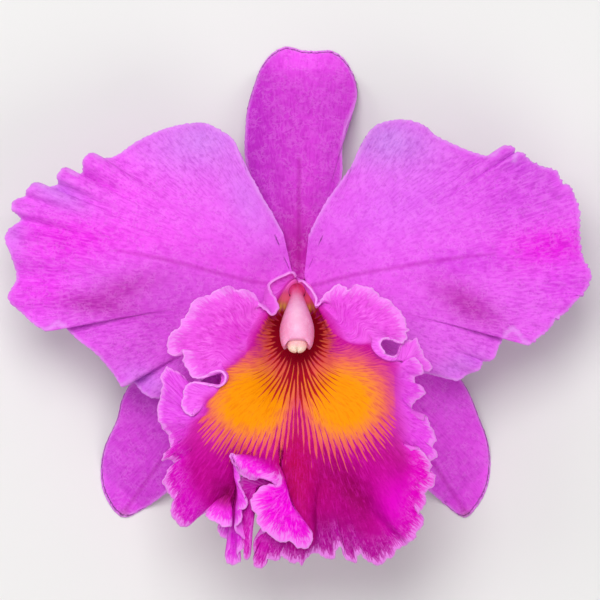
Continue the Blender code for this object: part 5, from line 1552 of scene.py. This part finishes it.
def make_cap():
    """The anther cap: a low dome on the blunt end of the column, with a cleft down its middle."""
    spine = refined(COLUMN_SPINE, 22)
    tip = spine[-1, :2]
    forward = spine[-1, :2] - spine[-3, :2]
    forward = forward / np.linalg.norm(forward)
    turn = round_angles()
    rings = []
    for polar in np.linspace(0.0, 0.98 * math.pi / 2, CAP_RINGS):
        cleft = 1 - 0.3 * np.exp(-((np.cos(turn) / 0.3) ** 2)) * ease(polar / math.pi * 4)
        radius = CAP_RADIUS * math.cos(polar) ** 0.6
        up = CAP_FLAT * radius * np.sin(turn)
        along = CAP_GAP + CAP_HEIGHT * math.sin(polar) * cleft
        rings.append(np.stack([COLUMN_MIDDLE + radius * np.cos(turn),
                               tip[0] + forward[0] * along - forward[1] * up,
                               tip[1] + forward[1] * along + forward[0] * up], axis=1))
    low, high = tip + forward * CAP_GAP, tip + forward * (CAP_GAP + CAP_MIDDLE * CAP_HEIGHT)
    made, points = close_rings("pollen_cap", rings, (COLUMN_MIDDLE, *low), (COLUMN_MIDDLE, *high))
    add_tint(made, "tint", paint(srgb(246, 206, 190), points[:, 0], points[:, 1], CAP_PATCHES))
    finish_piece(made, "anther_cap", "cap_cream", waxy_material("cap flesh", srgb(255, 240, 222)))


make_column()
make_cap()

# %% [markdown]
# ## Stalk
#
# Behind the flower the ribbed ovary narrows to the cut stalk. This is a profile that follows a
# path, which Geometry Nodes do well: a ribbed ring is swept along the spine, and the spine's own
# radius widens or narrows it. The result is turned into a plain mesh.

# %% Stalk: sizes
OVARY_TOP = 23.85
# Spine of the stalk behind the bloom: y, z and its radius
STALK_SPINE = (
    (5.0, OVARY_TOP, 5.1), (5.0, 23.1, 4.7), (4.9, 21.4, 3.5), (4.6, 18.0, 3.2), (3.0, 13.4, 3.4),
    (-0.6, 9.6, 3.7), (-6.0, 6.9, 3.8), (-13.0, 5.4, 3.3), (-22.0, 4.7, 2.8), (-32.0, 4.8, 2.6),
    (-41.0, 5.4, 2.7),
)
STALK_RIBS = 6
STALK_RIB_DEPTH = 0.07
STALK_SIDES = 96
STALK_RINGS = 120
# Heights between which the green flushes pink
FLUSH_START = 19.0
FLUSH_FULL = 22.5
print("the stalk ends at y and z", STALK_SPINE[-1][:2], "and has", STALK_RIBS, "ribs")


# %% Stalk: sweep a ribbed ring along its spine
def link_all(tree, *pairs):
    for source, target in pairs:
        tree.links.new(source, target)


def new_stalk_tree(material):
    """A ribbed ring swept along a path whose points carry their own radius."""
    tree = bpy.data.node_groups.new("ribbed stalk", "GeometryNodeTree")
    tree.interface.new_socket("Geometry", in_out="INPUT", socket_type="NodeSocketGeometry")
    for label, kind, value in (("Ribs", "NodeSocketInt", STALK_RIBS),
                               ("Rib Depth", "NodeSocketFloat", STALK_RIB_DEPTH),
                               ("Sides", "NodeSocketInt", STALK_SIDES)):
        tree.interface.new_socket(label, in_out="INPUT", socket_type=kind).default_value = value
    tree.interface.new_socket("Geometry", in_out="OUTPUT", socket_type="NodeSocketGeometry")
    nodes = tree.nodes
    start, end = nodes.new("NodeGroupInput"), nodes.new("NodeGroupOutput")
    path = nodes.new("GeometryNodeMeshToCurve")
    width = nodes.new("GeometryNodeInputNamedAttribute")
    width.inputs["Name"].default_value = "girth"
    ring = nodes.new("GeometryNodeCurvePrimitiveCircle")
    ring.inputs["Radius"].default_value = 1.0
    turn = nodes.new("GeometryNodeSplineParameter")
    turns = nodes.new("ShaderNodeMath")
    turns.operation = "MULTIPLY"
    full = nodes.new("ShaderNodeMath")
    full.operation = "MULTIPLY"
    full.inputs[1].default_value = 2 * math.pi
    wave = nodes.new("ShaderNodeMath")
    wave.operation = "COSINE"
    swell = nodes.new("ShaderNodeMath")
    swell.operation = "MULTIPLY_ADD"
    swell.inputs[2].default_value = 1.0
    spot = nodes.new("GeometryNodeInputPosition")
    grown = nodes.new("ShaderNodeVectorMath")
    grown.operation = "SCALE"
    shaped = nodes.new("GeometryNodeSetPosition")
    sweep = nodes.new("GeometryNodeCurveToMesh")
    sweep.inputs["Fill Caps"].default_value = True
    solid = nodes.new("GeometryNodeRealizeInstances")
    skin = nodes.new("GeometryNodeSetMaterial")
    skin.inputs["Material"].default_value = material
    link_all(tree, (start.outputs["Geometry"], path.inputs["Mesh"]), (path.outputs[0], sweep.inputs["Curve"]),
             (width.outputs["Attribute"], sweep.inputs["Scale"]),
             (start.outputs["Sides"], ring.inputs["Resolution"]),
             (turn.outputs["Factor"], turns.inputs[0]), (start.outputs["Ribs"], turns.inputs[1]),
             (turns.outputs[0], full.inputs[0]), (full.outputs[0], wave.inputs[0]),
             (wave.outputs[0], swell.inputs[0]), (start.outputs["Rib Depth"], swell.inputs[1]),
             (spot.outputs[0], grown.inputs[0]), (swell.outputs[0], grown.inputs["Scale"]),
             (ring.outputs[0], shaped.inputs["Geometry"]), (grown.outputs[0], shaped.inputs["Position"]),
             (shaped.outputs[0], sweep.inputs["Profile Curve"]),
             (sweep.outputs[0], solid.inputs[0]), (solid.outputs[0], skin.inputs["Geometry"]),
             (skin.outputs[0], end.inputs[0]))
    return tree


# %% Stalk: make it
def stalk_material():
    """Green with darker flecks, and flushed pink towards the hub."""
    material, tree, shader = new_flesh("stalk flesh", 0.42, 0.3)
    skin = use_group(tree, SKIN, Size=0.8)
    low = mask(tree, "height")
    flecks = between(tree, skin.outputs["Flecks"], 0.0, 1.0)
    green = blend(tree, flecks, srgb(150, 168, 84), srgb(120, 138, 60))
    green = blend(tree, times(tree, skin.outputs["Net"], 0.3), green, srgb(190, 198, 130))
    flush = blend(tree, skin.outputs["Flecks"], srgb(176, 60, 120), srgb(150, 40, 96))
    colour = blend(tree, between(tree, low, FLUSH_START * MM, FLUSH_FULL * MM), green, flush)
    feed(tree, shader.inputs["Base Color"], colour)
    add_bump(tree, shader, skin.outputs["Flecks"], 0.4, 0.2)
    return material


def make_stalk():
    """The path as a mesh of edges, swept by the tree and turned into a plain mesh."""
    spine = refined(STALK_SPINE, STALK_RINGS)
    mesh = bpy.data.meshes.new("stalk path")
    points = np.column_stack([np.zeros(STALK_RINGS), spine[:, :2]]) * MM
    mesh.from_pydata(points.tolist(), [(i, i + 1) for i in range(STALK_RINGS - 1)], [])
    mesh.attributes.new("girth", "FLOAT", "POINT").data.foreach_set("value", spine[:, 2] * MM)
    mesh.attributes.new("height", "FLOAT", "POINT").data.foreach_set("value", spine[:, 1] * MM)
    made = bpy.data.objects.new("ribbed_stalk", mesh)
    bpy.context.scene.collection.objects.link(made)
    material = stalk_material()
    grow = made.modifiers.new("grow", "NODES")
    grow.node_group = new_stalk_tree(material)
    items = grow.node_group.interface.items_tree
    names = {item.name: item.identifier for item in items if item.in_out == "INPUT"}
    grow[names["Ribs"]] = STALK_RIBS
    grow[names["Rib Depth"]] = STALK_RIB_DEPTH
    grow[names["Sides"]] = STALK_SIDES
    grown = bpy.data.meshes.new_from_object(made.evaluated_get(bpy.context.evaluated_depsgraph_get()))
    made.modifiers.remove(grow)
    made.data = grown
    grown.shade_smooth()
    PIECES.append((made, "ovary_and_pedicel", "stalk_green"))
    print("ribbed_stalk", len(grown.polygons), "faces")


make_stalk()

# %% [markdown]
# ## Hand the pieces over
#
# Each fine piece takes the place of its plain solid, which stays for collision, and rides on the
# one body that the bloom is.

# %% Finish
for piece, node, slot in PIECES:
    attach(piece, "root")
    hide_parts(node)
print(len(PIECES), "pieces stand for the solids")
